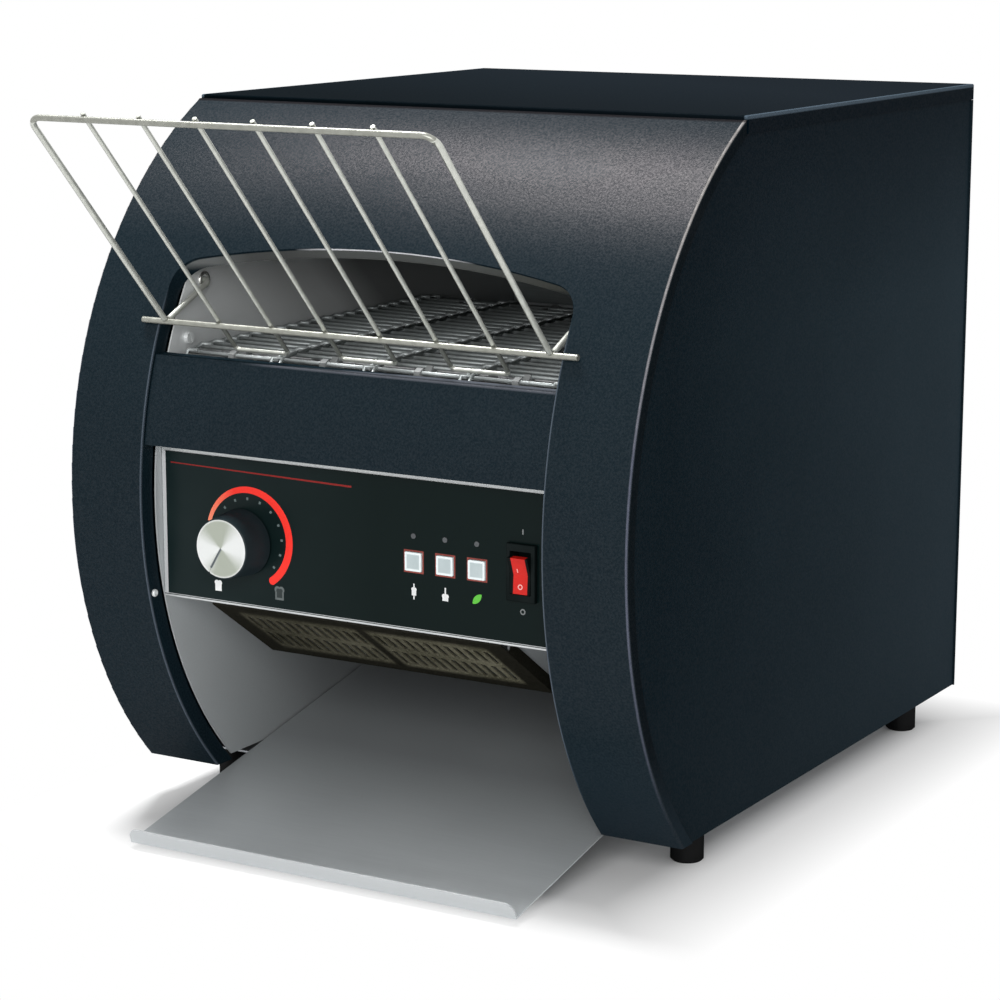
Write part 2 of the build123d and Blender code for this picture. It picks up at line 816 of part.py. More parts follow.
# --- intake grille: slotted black sheet that closes the duct's sloping front ---------------------------
grille_plane = Plane(
    origin=(0, front_y + panel_depth + seat, base_z + panel_bottom - seat - grille_sheet),
    x_dir=(1, 0, 0),
    z_dir=(0, -sin(radians(grille_angle)), -cos(radians(grille_angle))),
)
slot_rows = (
    (slot_upper_start + slot_upper_length / 2, slot_upper_length),
    (slot_upper_start + slot_upper_length + slot_row_gap + slot_lower_length / 2, slot_lower_length),
)
with BuildPart() as intake_grille:
    with BuildSketch(grille_plane):
        Rectangle(duct_width, grille_length, align=(Align.CENTER, Align.MAX))
        for slope_place, slot_length in slot_rows:
            for group_x in (-slot_group_spacing / 2, slot_group_spacing / 2):
                with Locations((group_x, -slope_place)):
                    with GridLocations(slot_pitch, slot_length, slot_count, 1):
                        SlotOverall(slot_length, slot_width, rotation=90, mode=Mode.SUBTRACT)
    extrude(amount=-grille_sheet)
    with BuildSketch(grille_plane):
        for side in (-1, 1):
            with Locations((side * duct_width / 2, -grille_length)):
                flange_align = Align.MAX if side > 0 else Align.MIN
                Rectangle(grille_sheet, grille_length - panel_return, align=(flange_align, Align.MIN))
    extrude(amount=-grille_flange)
intake_grille.part.label = "intake_grille"
export_step(intake_grille.part, "parts/intake_grille.step")

# --- cooling fan: frame, rotor and guard, on an upright axis -------------------------------------------
fan_y = front_y + fan_depth
fan_top_z = base_z + panel_bottom - seat
fan_bottom_z = fan_top_z - fan_thickness
with BuildPart() as fan_housing:
    with BuildSketch(Plane.XY.offset(fan_bottom_z)):
        with Locations((0, fan_y)):
            RectangleRounded(fan_size, fan_size, fan_corner_radius)
            Circle(fan_bore / 2, mode=Mode.SUBTRACT)
    extrude(amount=fan_thickness)
    with BuildSketch(Plane.XY.offset(fan_bottom_z)):
        with Locations((0, fan_y)):
            Circle(fan_hub_diameter / 2)
            for angle in (45, 135):
                Rectangle(fan_bore + 2 * fan_tip_gap, fan_strut_width, rotation=angle)
    extrude(amount=fan_strut_height)
    with BuildSketch(Plane.XY.offset(fan_bottom_z)):
        with Locations((0, fan_y)):
            with GridLocations(fan_screw_spacing, fan_screw_spacing, 2, 2):
                Circle(screw_shank_diameter / 2 + insulator_bore_gap)
    extrude(amount=fan_thickness, mode=Mode.SUBTRACT)
fan_housing.part.label = "fan_housing"
export_step(fan_housing.part, "parts/fan_housing.step")

rotor_bottom_z = fan_bottom_z + fan_strut_height + seat
rotor_height = fan_thickness - fan_strut_height - seat - fan_tip_gap
blade_root = fan_hub_diameter / 2 - fan_blade_thickness
blade_tip_reach = fan_blade_tip_chord / 2 * cos(radians(fan_blade_tip_angle))
blade_tip = sqrt((fan_bore / 2 - fan_tip_gap) ** 2 - blade_tip_reach**2)
with BuildPart() as fan_blade:
    with BuildSketch(Plane.YZ.offset(blade_root)):
        Rectangle(fan_blade_root_chord, fan_blade_thickness, rotation=fan_blade_root_angle)
    with BuildSketch(Plane.YZ.offset(blade_tip)):
        Rectangle(fan_blade_tip_chord, fan_blade_thickness, rotation=fan_blade_tip_angle)
    loft()
with BuildPart() as fan_rotor:
    with BuildSketch(Plane.XY.offset(rotor_bottom_z)):
        with Locations((0, fan_y)):
            Circle(fan_hub_diameter / 2)
    extrude(amount=rotor_height)
    with Locations((0, fan_y, rotor_bottom_z + rotor_height / 2)):
        with PolarLocations(0, fan_blades):
            add(fan_blade.part)
fan_rotor.part.label = "fan_rotor"
export_step(fan_rotor.part, "parts/fan_rotor.step")

guard_z = base_z + panel_bottom + sheet
guard_step = (fan_bore / 2 - fan_hub_diameter / 4) / guard_ring_count
with BuildPart() as fan_guard:
    with BuildSketch(Plane.XY.offset(guard_z)):
        with Locations((0, fan_y)):
            for ring in range(guard_ring_count):
                ring_radius = fan_bore / 2 + guard_ring_width - ring * guard_step
                Circle(ring_radius)
                Circle(ring_radius - guard_ring_width, mode=Mode.SUBTRACT)
            for angle in (0, 90):
                Rectangle(fan_bore + guard_ring_width, guard_ring_width, rotation=angle)
    extrude(amount=guard_height)
fan_guard.part.label = "fan_guard"
export_step(fan_guard.part, "parts/fan_guard.step")

# --- control panel: a shallow steel pan with studs for the board ---------------------------------------
panel_y = front_y + panel_depth
panel_height = bar_bottom - panel_seam - panel_bottom
knob_x = knob_inset - half_chamber
rocker_x = half_chamber - rocker_inset
button_places = [rocker_x - button_rocker_spacing - i * button_pitch for i in reversed(range(button_count))]
board_y = panel_y + sheet + board_depth
board_centre_x = rocker_x + board_overhang - board_width / 2
board_centre_z = base_z + board_bottom + board_height / 2
cut_width = button_size + 2 * button_gap


def panel_holes(plane):
    """The openings that the panel and its film share."""
    with BuildSketch(plane) as holes:
        with Locations((knob_x, base_z + knob_height)):
            Circle(pot_bush_diameter / 2 + insulator_bore_gap)
        for x in button_places:
            with Locations((x, base_z + button_height)):
                Rectangle(cut_width, cut_width)
            with Locations((x, base_z + lamp_height)):
                Circle(lamp_diameter / 2 + lamp_gap)
        with Locations((rocker_x, base_z + rocker_height)):
            Rectangle(bezel_width - bezel_wall, bezel_height - bezel_wall)
    return holes.sketch


with BuildPart() as control_panel:
    with BuildSketch(Plane.XZ.offset(-panel_y)):
        with Locations((0, base_z + panel_bottom)):
            Rectangle(bench_width, panel_height, align=(Align.CENTER, Align.MIN))
    extrude(amount=-panel_return)
    offset(amount=-sheet, openings=control_panel.faces().sort_by(Axis.Y)[-1])
    with BuildSketch(Plane.XZ.offset(-panel_y - sheet)):
        with Locations((board_centre_x, board_centre_z)):
            with GridLocations(board_width - 2 * stud_inset, board_height - 2 * stud_inset, 2, 2):
                Circle(stud_diameter / 2)
    extrude(amount=-board_depth)
    extrude(panel_holes(Plane.XZ.offset(-panel_y)), amount=-sheet, mode=Mode.SUBTRACT)
control_panel.part.label = "control_panel"
export_step(control_panel.part, "parts/control_panel.step")

# --- panel overlay: the black film on the panel's face -------------------------------------------------
with BuildPart() as panel_overlay:
    with BuildSketch(Plane.XZ.offset(-panel_y)):
        with Locations((0, base_z + panel_bottom + overlay_margin)):
            Rectangle(
                bench_width - 2 * overlay_side_margin,
                panel_height - 3 * overlay_margin,
                align=(Align.CENTER, Align.MIN),
            )
    extrude(amount=overlay_sheet)
    extrude(panel_holes(Plane.XZ.offset(-panel_y)), amount=overlay_sheet, mode=Mode.SUBTRACT)
panel_overlay.part.label = "panel_overlay"
export_step(panel_overlay.part, "parts/panel_overlay.step")

# --- speed control: potentiometer behind the panel, spindle, knob and the knob's metal cap -------------
overlay_y = panel_y - overlay_sheet
knob_back_y = overlay_y - pot_nut_thickness - knob_panel_gap
knob_z = base_z + knob_height
with BuildPart() as speed_control:
    with BuildSketch(Plane.XZ.offset(-panel_y - sheet)):
        with Locations((knob_x, knob_z)):
            Circle(pot_diameter / 2)
    extrude(amount=-pot_length)
    with BuildSketch(Plane.XZ.offset(-panel_y - sheet)):
        with Locations((knob_x, knob_z)):
            Circle(pot_bush_diameter / 2)
    extrude(amount=sheet + overlay_sheet + pot_nut_thickness)
    with BuildSketch(Plane.XZ.offset(-overlay_y)):
        with Locations((knob_x, knob_z)):
            RegularPolygon(pot_nut_diameter / 2, 6)
    extrude(amount=pot_nut_thickness)
    with BuildSketch(Plane.XZ.offset(-knob_back_y)):
        with Locations((knob_x, knob_z)):
            Circle(spindle_diameter / 2 + shaft_running_gap)
    extrude(amount=-(panel_y + sheet - knob_back_y + pot_length / 2), mode=Mode.SUBTRACT)
speed_control.part.label = "speed_control"
export_step(speed_control.part, "parts/speed_control.step")

with BuildPart() as speed_spindle:
    with BuildSketch(Plane.XZ.offset(-knob_back_y + knob_bore_depth)):
        with Locations((knob_x, knob_z)):
            Circle(spindle_diameter / 2)
    extrude(amount=-(panel_y + sheet - knob_back_y + pot_length / 2 - shaft_end_play + knob_bore_depth))
speed_spindle.part.label = "speed_spindle"
export_step(speed_spindle.part, "parts/speed_spindle.step")

knob_front_y = knob_back_y - knob_length
with BuildPart() as speed_knob:
    with BuildSketch(Plane.XZ.offset(-knob_back_y)):
        with Locations((knob_x, knob_z)):
            Circle(knob_base_diameter / 2)
    with BuildSketch(Plane.XZ.offset(-knob_front_y)):
        with Locations((knob_x, knob_z)):
            Circle(knob_face_diameter / 2)
    loft()
    chamfer(speed_knob.edges().sort_by(Axis.Y)[0], knob_rim_chamfer)
    with BuildSketch(Plane.XZ.offset(-knob_front_y)):
        with Locations((knob_x, knob_z)):
            Circle(knob_cap_diameter / 2)
    extrude(amount=-knob_cap_thickness, mode=Mode.SUBTRACT)
    with BuildSketch(Plane.XZ.offset(-knob_back_y)):
        with Locations((knob_x, knob_z)):
            Circle(spindle_diameter / 2)
    extrude(amount=knob_bore_depth, mode=Mode.SUBTRACT)
speed_knob.part.label = "speed_knob"
export_step(speed_knob.part, "parts/speed_knob.step")

with BuildPart() as knob_cap:
    with BuildSketch(Plane.XZ.offset(-knob_front_y)):
        with Locations((knob_x, knob_z)):
            Circle(knob_cap_diameter / 2)
    extrude(amount=-knob_cap_thickness)
    with BuildSketch(Plane.XZ.offset(-knob_front_y)):
        with Locations((knob_x, knob_z)):
            Rectangle(
                knob_cap_diameter / 2,
                knob_pointer_width,
                rotation=knob_pointer_angle,
                align=(Align.MIN, Align.CENTER),
            )
    extrude(amount=-knob_pointer_depth, mode=Mode.SUBTRACT)
knob_cap.part.label = "knob_cap"
export_step(knob_cap.part, "parts/knob_cap.step")

# --- push buttons: square caps with a retaining flange and a stem to the switch on the board -----------
switch_front_y = board_y - switch_height
button_front_y = overlay_y - button_proud
retainer_y = panel_y + sheet + seat
for index, x in enumerate(button_places):
    button_name = f"button_{index + 1}"
    with BuildPart() as button:
        with BuildSketch(Plane.XZ.offset(-button_front_y)):
            with Locations((x, base_z + button_height)):
                RectangleRounded(button_size, button_size, button_round)
        extrude(amount=-(retainer_y - button_front_y))
        with BuildSketch(Plane.XZ.offset(-retainer_y)):
            with Locations((x, base_z + button_height)):
                Rectangle(button_size + 2 * button_flange, button_size + 2 * button_flange)
        extrude(amount=-button_retainer)
        with BuildSketch(Plane.XZ.offset(-retainer_y - button_retainer)):
            with Locations((x, base_z + button_height)):
                Circle(button_stem_diameter / 2)
        extrude(amount=-(switch_front_y - button_travel - seat - retainer_y - button_retainer))
    button.part.label = button_name
    export_step(button.part, f"parts/{button_name}.step")

# --- control board with its button switches and the light pipes of the lamps ---------------------------
with BuildPart() as control_board:
    with BuildSketch(Plane.XZ.offset(-board_y)):
        with Locations((board_centre_x, board_centre_z)):
            Rectangle(board_width, board_height)
        with Locations((rocker_x, base_z + rocker_height)):
            Rectangle(bezel_width + seat, bezel_height + seat, mode=Mode.SUBTRACT)
    extrude(amount=-board_sheet)
control_board.part.label = "control_board"
export_step(control_board.part, "parts/control_board.step")

with BuildPart() as button_switches:
    with BuildSketch(Plane.XZ.offset(-board_y)):
        with Locations(*[(x, base_z + button_height) for x in button_places]):
            Rectangle(switch_size, switch_size)
    extrude(amount=switch_height)
button_switches.part.label = "button_switches"
export_step(button_switches.part, "parts/button_switches.step")

with BuildPart() as indicator_lamps:
    with BuildSketch(Plane.XZ.offset(-board_y)):
        with Locations(*[(x, base_z + lamp_height) for x in button_places]):
            Circle(lamp_diameter / 2)
    extrude(amount=board_y - overlay_y + lamp_proud)
indicator_lamps.part.label = "indicator_lamps"
export_step(indicator_lamps.part, "parts/indicator_lamps.step")

# --- power switch: bezel and body in one moulding, with a crowned rocker on a cross pin ----------------
rocker_z = base_z + rocker_height
bezel_front_y = overlay_y - bezel_proud
rocker_half_height = bezel_height / 2 - bezel_end_wall
rocker_half_width = bezel_width / 2 - bezel_wall
pivot_y = overlay_y + rocker_pivot_depth
pocket_depth = rocker_pivot_depth + bezel_proud + rocker_half_height * sin(radians(rocker_throw)) + seat
with BuildPart() as power_switch:
    with BuildSketch(Plane.XZ.offset(-bezel_front_y)):
        with Locations((rocker_x, rocker_z)):
            Rectangle(bezel_width, bezel_height)
    extrude(amount=-bezel_proud)
    fillet(power_switch.faces().sort_by(Axis.Y)[0].edges(), bezel_wall / 3)
    with BuildSketch(Plane.XZ.offset(-overlay_y)):
        with Locations((rocker_x, rocker_z)):
            Rectangle(bezel_width - bezel_wall - seat, bezel_height - bezel_wall - seat)
    extrude(amount=-rocker_body_depth)
    with BuildSketch(Plane.XZ.offset(-bezel_front_y)):
        with Locations((rocker_x, rocker_z)):
            Rectangle(2 * rocker_half_width, 2 * rocker_half_height)
    extrude(amount=-pocket_depth, mode=Mode.SUBTRACT)
    with BuildSketch(Plane.YZ.offset(rocker_x)):
        with Locations((pivot_y, rocker_z)):
            Circle(rocker_pin_diameter / 2)
    extrude(amount=rocker_half_width + seat, both=True)
power_switch.part.label = "power_switch"
export_step(power_switch.part, "parts/power_switch.step")

rocker_reach = rocker_half_height - rocker_gap - rocker_face_drop
rocker_face = rocker_pivot_depth + bezel_proud
rocker_lean = radians(rocker_throw / 2)
rocker_plane = Plane(
    origin=(rocker_x, pivot_y, rocker_z),
    x_dir=(0, cos(rocker_lean), sin(rocker_lean)),
    z_dir=(1, 0, 0),
)
with BuildPart() as power_rocker:
    with BuildSketch(rocker_plane):
        with BuildLine():
            Polyline(
                (0, -rocker_pin_diameter),
                (rocker_face_drop - rocker_face, -rocker_reach),
                (-rocker_face - rocker_proud, -rocker_reach),
                (-rocker_face, 0),
                (-rocker_face - rocker_proud, rocker_reach),
                (rocker_face_drop - rocker_face, rocker_reach),
                (0, rocker_pin_diameter),
                (rocker_pin_diameter, 0),
                close=True,
            )
        make_face()
        Circle(rocker_pin_diameter / 2 + shaft_running_gap, mode=Mode.SUBTRACT)
    extrude(amount=rocker_half_width - rocker_gap, both=True)
power_rocker.part.label = "power_rocker"
export_step(power_rocker.part, "parts/power_rocker.step")

# --- collector tray: sloping sheet with a leaning front lip --------------------------------------------
lip_lean = radians(tray_lip_lean)
tray_width = chamber_width - 2 * tray_side_gap
with BuildPart() as collector_tray:
    extrude(
        folded_section(
            (
                (tray_rear_depth, tray_underside(tray_rear_depth)),
                (tray_front_depth, tray_underside(tray_front_depth)),
                (
                    tray_front_depth - tray_lip * sin(lip_lean),
                    tray_underside(tray_front_depth) + tray_lip * cos(lip_lean),
                ),
            ),
            tray_sheet,
            Side.RIGHT,
        ),
        amount=tray_width / 2,
        both=True,
    )
    lip_corners = (
        collector_tray.edges()
        .filter_by(lambda edge: edge.length < 2 * tray_sheet)
        .group_by(Axis.Y)[0]
    )
    fillet(lip_corners, tray_corner_radius)
collector_tray.part.label = "collector_tray"
export_step(collector_tray.part, "parts/collector_tray.step")

# --- feed rack: bent frame wire, cross bar and looped rods, welded together ----------------------------
up_rack = Vector(0, -cos(rack_lean), sin(rack_lean))
off_rack = Vector(0, sin(rack_lean), cos(rack_lean))
rack_foot = Vector(0, front_y + rack_bar_depth, base_z + rack_rest_height)
rack_head = rack_foot + up_rack * rack_length
rack_eye = Vector(0, *at(rack_hinge_depth, rack_hinge_height))
rack_frame_width = chamber_width - 2 * rack_side_gap
rack_rod_spacing = rack_frame_width / (rack_rod_count + 1)
rack_bar_half_length = window_half_width + rack_bar_overlap
frame_x = Vector(rack_frame_width / 2, 0, 0)
hook_x = Vector(wall_outer_x + rack_hook_length / 2, 0, 0)
frame_points = (
    rack_eye - hook_x,
    rack_eye - frame_x,
    rack_foot - frame_x,
    rack_head - frame_x,
    rack_head + frame_x,
    rack_foot + frame_x,
    rack_eye + frame_x,
    rack_eye + hook_x,
)
hook_radius = rack_side_gap - seat
frame_radii = (
    hook_radius,
    rack_bend_radius,
    rack_corner_radius,
    rack_corner_radius,
    rack_bend_radius,
    hook_radius,
)
rod_offset = off_rack * ((rack_wire + rack_rod) / 2 - weld_sink)
rod_foot = rack_foot + rod_offset - up_rack * rack_rod_tail
rod_head = rack_head + rod_offset + up_rack * rack_rod_overrun
rod_places = [(i - (rack_rod_count - 1) / 2) * rack_rod_spacing for i in range(rack_rod_count)]
with BuildPart() as feed_rack:
    with BuildLine() as frame_wire:
        FilletPolyline(*frame_points, radius=frame_radii)
    with BuildSketch(Plane(origin=frame_points[0], z_dir=(1, 0, 0))):
        Circle(rack_wire / 2)
    sweep(path=frame_wire.line)
    with BuildSketch(Plane.YZ):
        with Locations((rack_foot.Y, rack_foot.Z)):
            Circle(rack_wire / 2)
    extrude(amount=rack_bar_half_length, both=True)
    for first, second in zip(rod_places[::2], rod_places[1::2]):
        first_x = Vector(first, 0, 0)
        second_x = Vector(second, 0, 0)
        with BuildLine() as loop_wire:
            FilletPolyline(
                rod_head + first_x,
                rod_foot + first_x,
                rod_foot + second_x,
                rod_head + second_x,
                radius=rack_loop_radius,
            )
        with BuildSketch(Plane(origin=rod_head + first_x, z_dir=up_rack)):
            Circle(rack_rod / 2)
        sweep(path=loop_wire.line)
feed_rack.part.label = "feed_rack"
export_step(feed_rack.part, "parts/feed_rack.step")

# --- conveyor belt: wires bent in open loops, each hooked over the next wire ---------------------------
run_rows = [i * belt_pitch for i in range(belt_spans + 1)]
turn_angles = [pi / 2 - i * 2 * pi / sprocket_teeth for i in range(1, sprocket_teeth // 2)]
belt_rows = [at(idler_depth + run, shaft_height + belt_radius) for run in run_rows]
belt_rows += [
    at(drive_depth + belt_radius * cos(angle), shaft_height + belt_radius * sin(angle))
    for angle in turn_angles
]
belt_rows += [at(drive_depth - run, shaft_height - belt_radius) for run in run_rows]
belt_rows += [
    at(idler_depth - belt_radius * cos(angle), shaft_height - belt_radius * sin(angle))
    for angle in turn_angles
]
belt_edge = (belt_width - belt_wire) / 2
space_width = 2 * belt_edge / belt_spaces
link_points = [(-belt_edge + belt_edge_hook, belt_pitch, belt_hook_rise)]
link_points += [(-belt_edge, belt_pitch, belt_hook_rise), (-belt_edge, 0, 0)]
for joint in range(1, belt_spaces):
    joint_x = -belt_edge + joint * space_width
    link_points += [
        (joint_x - belt_hook_root, 0, 0),
        (joint_x - belt_hook_reach, belt_pitch, belt_hook_rise),
        (joint_x + belt_hook_reach, belt_pitch, belt_hook_rise),
        (joint_x + belt_hook_root, 0, 0),
    ]
link_points += [(belt_edge, 0, 0), (belt_edge, belt_pitch, belt_hook_rise)]
link_points += [(belt_edge - belt_edge_hook, belt_pitch, belt_hook_rise)]
with BuildPart() as belt_link:
    with BuildLine() as link_path:
        Polyline(*link_points)
    with BuildSketch(Plane(origin=link_points[0], z_dir=(-1, 0, 0))):
        Rectangle(belt_wire, belt_wire)
    sweep(path=link_path.line, transition=Transition.RIGHT)

link_places = []
for row, next_row in zip(belt_rows, belt_rows[1:] + belt_rows[:1]):
    along = (Vector(0, *next_row) - Vector(0, *row)).normalized()
    link_places.append(Plane(origin=(0, *row), x_dir=(1, 0, 0), z_dir=(0, -along.Z, along.Y)).location)
with BuildPart() as conveyor_belt:
    with Locations(*link_places):
        add(belt_link.part, clean=False)
conveyor_belt.part.label = "conveyor_belt"
export_step(conveyor_belt.part, "parts/conveyor_belt.step")

# --- belt shafts and sprockets -------------------------------------------------------------------------
chain_x = half_chamber + chain_inset
hub_end_x = chain_x + chain_inner_width / 2 + chain_sprocket_hub
bushing_end_x = half_chamber + bushing_length - bushing_flange
sprocket_places = [-belt_edge + (i + 0.5) * space_width for i in range(belt_spaces)]
sprocket_root = belt_radius - belt_wire / sqrt(2) - sprocket_clearance
shaft_right_ends = {"idler": bushing_end_x, "drive": hub_end_x}
for shaft_name, depth in shaft_places.items():
    with BuildPart() as belt_shaft:
        with BuildSketch(Plane.YZ.offset(-bushing_end_x)):
            with Locations(at(depth, shaft_height)):
                Circle(shaft_diameter / 2)
        extrude(amount=bushing_end_x + shaft_right_ends[shaft_name])
    belt_shaft.part.label = f"{shaft_name}_shaft"
    export_step(belt_shaft.part, f"parts/{shaft_name}_shaft.step")

    with BuildPart() as belt_sprockets:
        for x in sprocket_places:
            with BuildSketch(Plane.YZ.offset(x - sprocket_thickness / 2)):
                with Locations(at(depth, shaft_height)):
                    Circle(sprocket_root)
                    with PolarLocations(0, sprocket_teeth, start_angle=180 / sprocket_teeth):
                        Polygon(
                            (0, -tooth_root_width / 2),
                            (sprocket_root - tooth_sink, -tooth_root_width / 2),
                            (belt_radius + tooth_rise, -tooth_tip_width / 2),
                            (belt_radius + tooth_rise, tooth_tip_width / 2),
                            (sprocket_root - tooth_sink, tooth_root_width / 2),
                            (0, tooth_root_width / 2),
                            align=None,
                        )
                    Circle(shaft_diameter / 2, mode=Mode.SUBTRACT)
            extrude(amount=sprocket_thickness)
    belt_sprockets.part.label = f"{shaft_name}_sprockets"
    export_step(belt_sprockets.part, f"parts/{shaft_name}_sprockets.step")

# --- flanged bushings in the inner walls ---------------------------------------------------------------
with BuildPart() as shaft_bushings:
    for side in (-1, 1):
        with BuildSketch(Plane.YZ.offset(side * (half_chamber - bushing_flange))):
            with Locations(*[at(depth, shaft_height) for depth in shaft_places.values()]):
                Circle(bushing_flange_diameter / 2)
        extrude(amount=side * bushing_flange)
        with BuildSketch(Plane.YZ.offset(side * half_chamber)):
            with Locations(*[at(depth, shaft_height) for depth in shaft_places.values()]):
                Circle(bushing_diameter / 2)
        extrude(amount=side * (bushing_length - bushing_flange))
        with BuildSketch(Plane.YZ.offset(side * (half_chamber - bushing_flange))):
            with Locations(*[at(depth, shaft_height) for depth in shaft_places.values()]):
                Circle(shaft_diameter / 2 + shaft_running_gap)
        extrude(amount=side * bushing_length, mode=Mode.SUBTRACT)
shaft_bushings.part.label = "shaft_bushings"
export_step(shaft_bushings.part, "parts/shaft_bushings.step")

# --- belt rails: two runners on cross bars, under the belt's upper run ---------------------------------
rail_top = belt_top - belt_wire - rail_gap
rail_front_depth = idler_depth + belt_radius + tooth_rise + shaft_diameter
rail_rear_depth = drive_depth - belt_radius - tooth_rise - shaft_diameter
rail_bar_depths = (rail_front_depth + shaft_diameter, rail_rear_depth - shaft_diameter)
with BuildPart() as belt_rails:
    for x in (-rail_spacing / 2, rail_spacing / 2):
        with BuildSketch(Plane.YZ.offset(x - rail_width / 2)):
            with Locations(at(rail_front_depth, rail_top)):
                Rectangle(rail_rear_depth - rail_front_depth, rail_height, align=(Align.MIN, Align.MAX))
        extrude(amount=rail_width)
    with BuildSketch(Plane.YZ):
        with Locations(*[at(depth, rail_top - rail_height) for depth in rail_bar_depths]):
            Circle(rail_bar_diameter / 2)
    extrude(amount=half_chamber, both=True)
belt_rails.part.label = "belt_rails"
export_step(belt_rails.part, "parts/belt_rails.step")

# --- drive chain and its sprockets ---------------------------------------------------------------------
chain_along = Vector(0, -cos(radians(chain_angle)), -sin(radians(chain_angle)))
chain_across = Vector(0, chain_along.Z, -chain_along.Y)
motor_centre = Vector(chain_x, *at(motor_depth, motor_height))
drive_centre = Vector(chain_x, *at(drive_depth, shaft_height))


def roller_place(centre, radius, angle):
    """A roller's centre at an angle, in degrees, from the line square to the centres."""
    turn = radians(angle)
    return centre + (chain_across * cos(turn) + chain_along * sin(turn)) * radius


drive_rollers = [
    roller_place(drive_centre, shaft_chain_radius, 360 / shaft_sprocket_teeth * i)
    for i in range(shaft_sprocket_teeth // 2 + 1)
]
motor_rollers = [
    roller_place(motor_centre, motor_chain_radius, 180 + 360 / motor_sprocket_teeth * i)
    for i in range(motor_sprocket_teeth // 2 + 1)
]
chain_points = list(drive_rollers)
chain_points += [
    drive_rollers[-1] + (motor_rollers[0] - drive_rollers[-1]) * (i / chain_spans)
    for i in range(1, chain_spans)
]
chain_points += motor_rollers
chain_points += [
    motor_rollers[-1] + (drive_rollers[0] - motor_rollers[-1]) * (i / chain_spans)
    for i in range(1, chain_spans)
]
chain_steps = list(zip(chain_points, chain_points[1:] + chain_points[:1]))
plate_places = {0: chain_inner_width / 2, 1: chain_inner_width / 2 + chain_plate}
plate_tip = chain_plate_height / 2 - chain_plate_point


def plate_outline(first, second):
    """Elongated hexagon round two neighbouring rollers, as points of the side view."""
    step = (second - first).normalized()
    rise = Vector(0, -step.Z, step.Y) * (chain_plate_height / 2)
    point = step * (chain_plate_height / 2)
    shoulder = step * plate_tip
    corners = (
        first - point,
        first - shoulder - rise,
        second + shoulder - rise,
        second + point,
        second + shoulder + rise,
        first - shoulder + rise,
    )
    return [(corner.Y, corner.Z) for corner in corners]


with BuildPart() as drive_chain:
    for kind, plate_x in plate_places.items():
        for side in (-1, 1):
            with BuildSketch(Plane.YZ.offset(chain_x + side * plate_x)):
                for first, second in chain_steps[kind::2]:
                    Polygon(*plate_outline(first, second), align=None)
            extrude(amount=side * chain_plate)
    with BuildSketch(Plane.YZ.offset(chain_x)):
        with Locations(*[(point.Y, point.Z) for point in chain_points]):
            RegularPolygon(chain_roller / 2, chain_roller_sides)
    extrude(amount=chain_inner_width / 2, both=True)
drive_chain.part.label = "drive_chain"
export_step(drive_chain.part, "parts/drive_chain.step")

chain_sprockets = {
    "chain_sprocket": (drive_centre, shaft_chain_radius, shaft_sprocket_teeth, 0, shaft_diameter),
    "motor_sprocket": (motor_centre, motor_chain_radius, motor_sprocket_teeth, 180, motor_shaft_diameter),
}
for sprocket_name, (centre, radius, teeth, first_angle, bore) in chain_sprockets.items():
    root = radius - chain_roller / 2 - chain_root_gap
    with BuildPart() as toothed_wheel:
        with BuildSketch(Plane.YZ.offset(chain_x - chain_tooth_width / 2)):
            with Locations((centre.Y, centre.Z)):
                Circle(root)
            for tooth in range(teeth):
                angle = first_angle + (tooth + 0.5) * 360 / teeth
                outward = roller_place(Vector(0, 0, 0), 1, angle)
                across = Vector(0, -outward.Z, outward.Y)
                low = centre + outward * (root - chain_plate)
                high = centre + outward * (radius + chain_tooth_rise)
                corners = (
                    low - across * (chain_tooth_root / 2),
                    low + across * (chain_tooth_root / 2),
                    high + across * (chain_tooth_tip / 2),
                    high - across * (chain_tooth_tip / 2),
                )
                Polygon(*[(corner.Y, corner.Z) for corner in corners], align=None)
        extrude(amount=chain_tooth_width)
        with BuildSketch(Plane.YZ.offset(chain_x)):
            with Locations((centre.Y, centre.Z)):
                Circle(bore / 2 + chain_hub_wall)
        extrude(amount=hub_end_x - chain_x)
        with BuildSketch(Plane.YZ.offset(chain_x - chain_tooth_width / 2)):
            with Locations((centre.Y, centre.Z)):
                Circle(bore / 2)
        extrude(amount=hub_end_x, mode=Mode.SUBTRACT)
    toothed_wheel.part.label = sprocket_name
    export_step(toothed_wheel.part, f"parts/{sprocket_name}.step")

# --- gear motor: flat gearbox on the right wall, its shaft through the wall to the chain ----------------
gearbox_y = motor_centre.Y + gearbox_shift_y
gearbox_z = motor_centre.Z + gearbox_shift_z
gearbox_face_x = half_chamber - seat
can_end_x = gearbox_face_x - gearbox_length
with BuildPart() as gear_motor:
    with BuildSketch(Plane.YZ.offset(gearbox_face_x)):
        with Locations((gearbox_y, gearbox_z)):
            RectangleRounded(gearbox_width, gearbox_height, gearbox_corner_radius)
    extrude(amount=-gearbox_length)
    with BuildSketch(Plane.YZ.offset(can_end_x)):
        with Locations((gearbox_y, gearbox_z)):
            Circle(motor_diameter / 2)
    extrude(amount=-motor_length)
    with BuildSketch(Plane.YZ.offset(can_end_x - motor_length)):
        with Locations((gearbox_y, gearbox_z)):
            Circle(motor_cap_diameter / 2)
    extrude(amount=-motor_cap_length)
    with BuildSketch(Plane.YZ.offset(gearbox_face_x)):
        with Locations((motor_centre.Y, motor_centre.Z)):
            Circle(gearbox_boss_diameter / 2)
    extrude(amount=seat + wall_sheet + gearbox_boss_proud)
    with BuildSketch(Plane.YZ.offset(wall_outer_x + gearbox_boss_proud)):
        with Locations((motor_centre.Y, motor_centre.Z)):
            Circle(motor_shaft_diameter / 2 + shaft_running_gap)
    extrude(amount=-gearbox_length / 2, mode=Mode.SUBTRACT)
gear_motor.part.label = "gear_motor"
export_step(gear_motor.part, "parts/gear_motor.step")

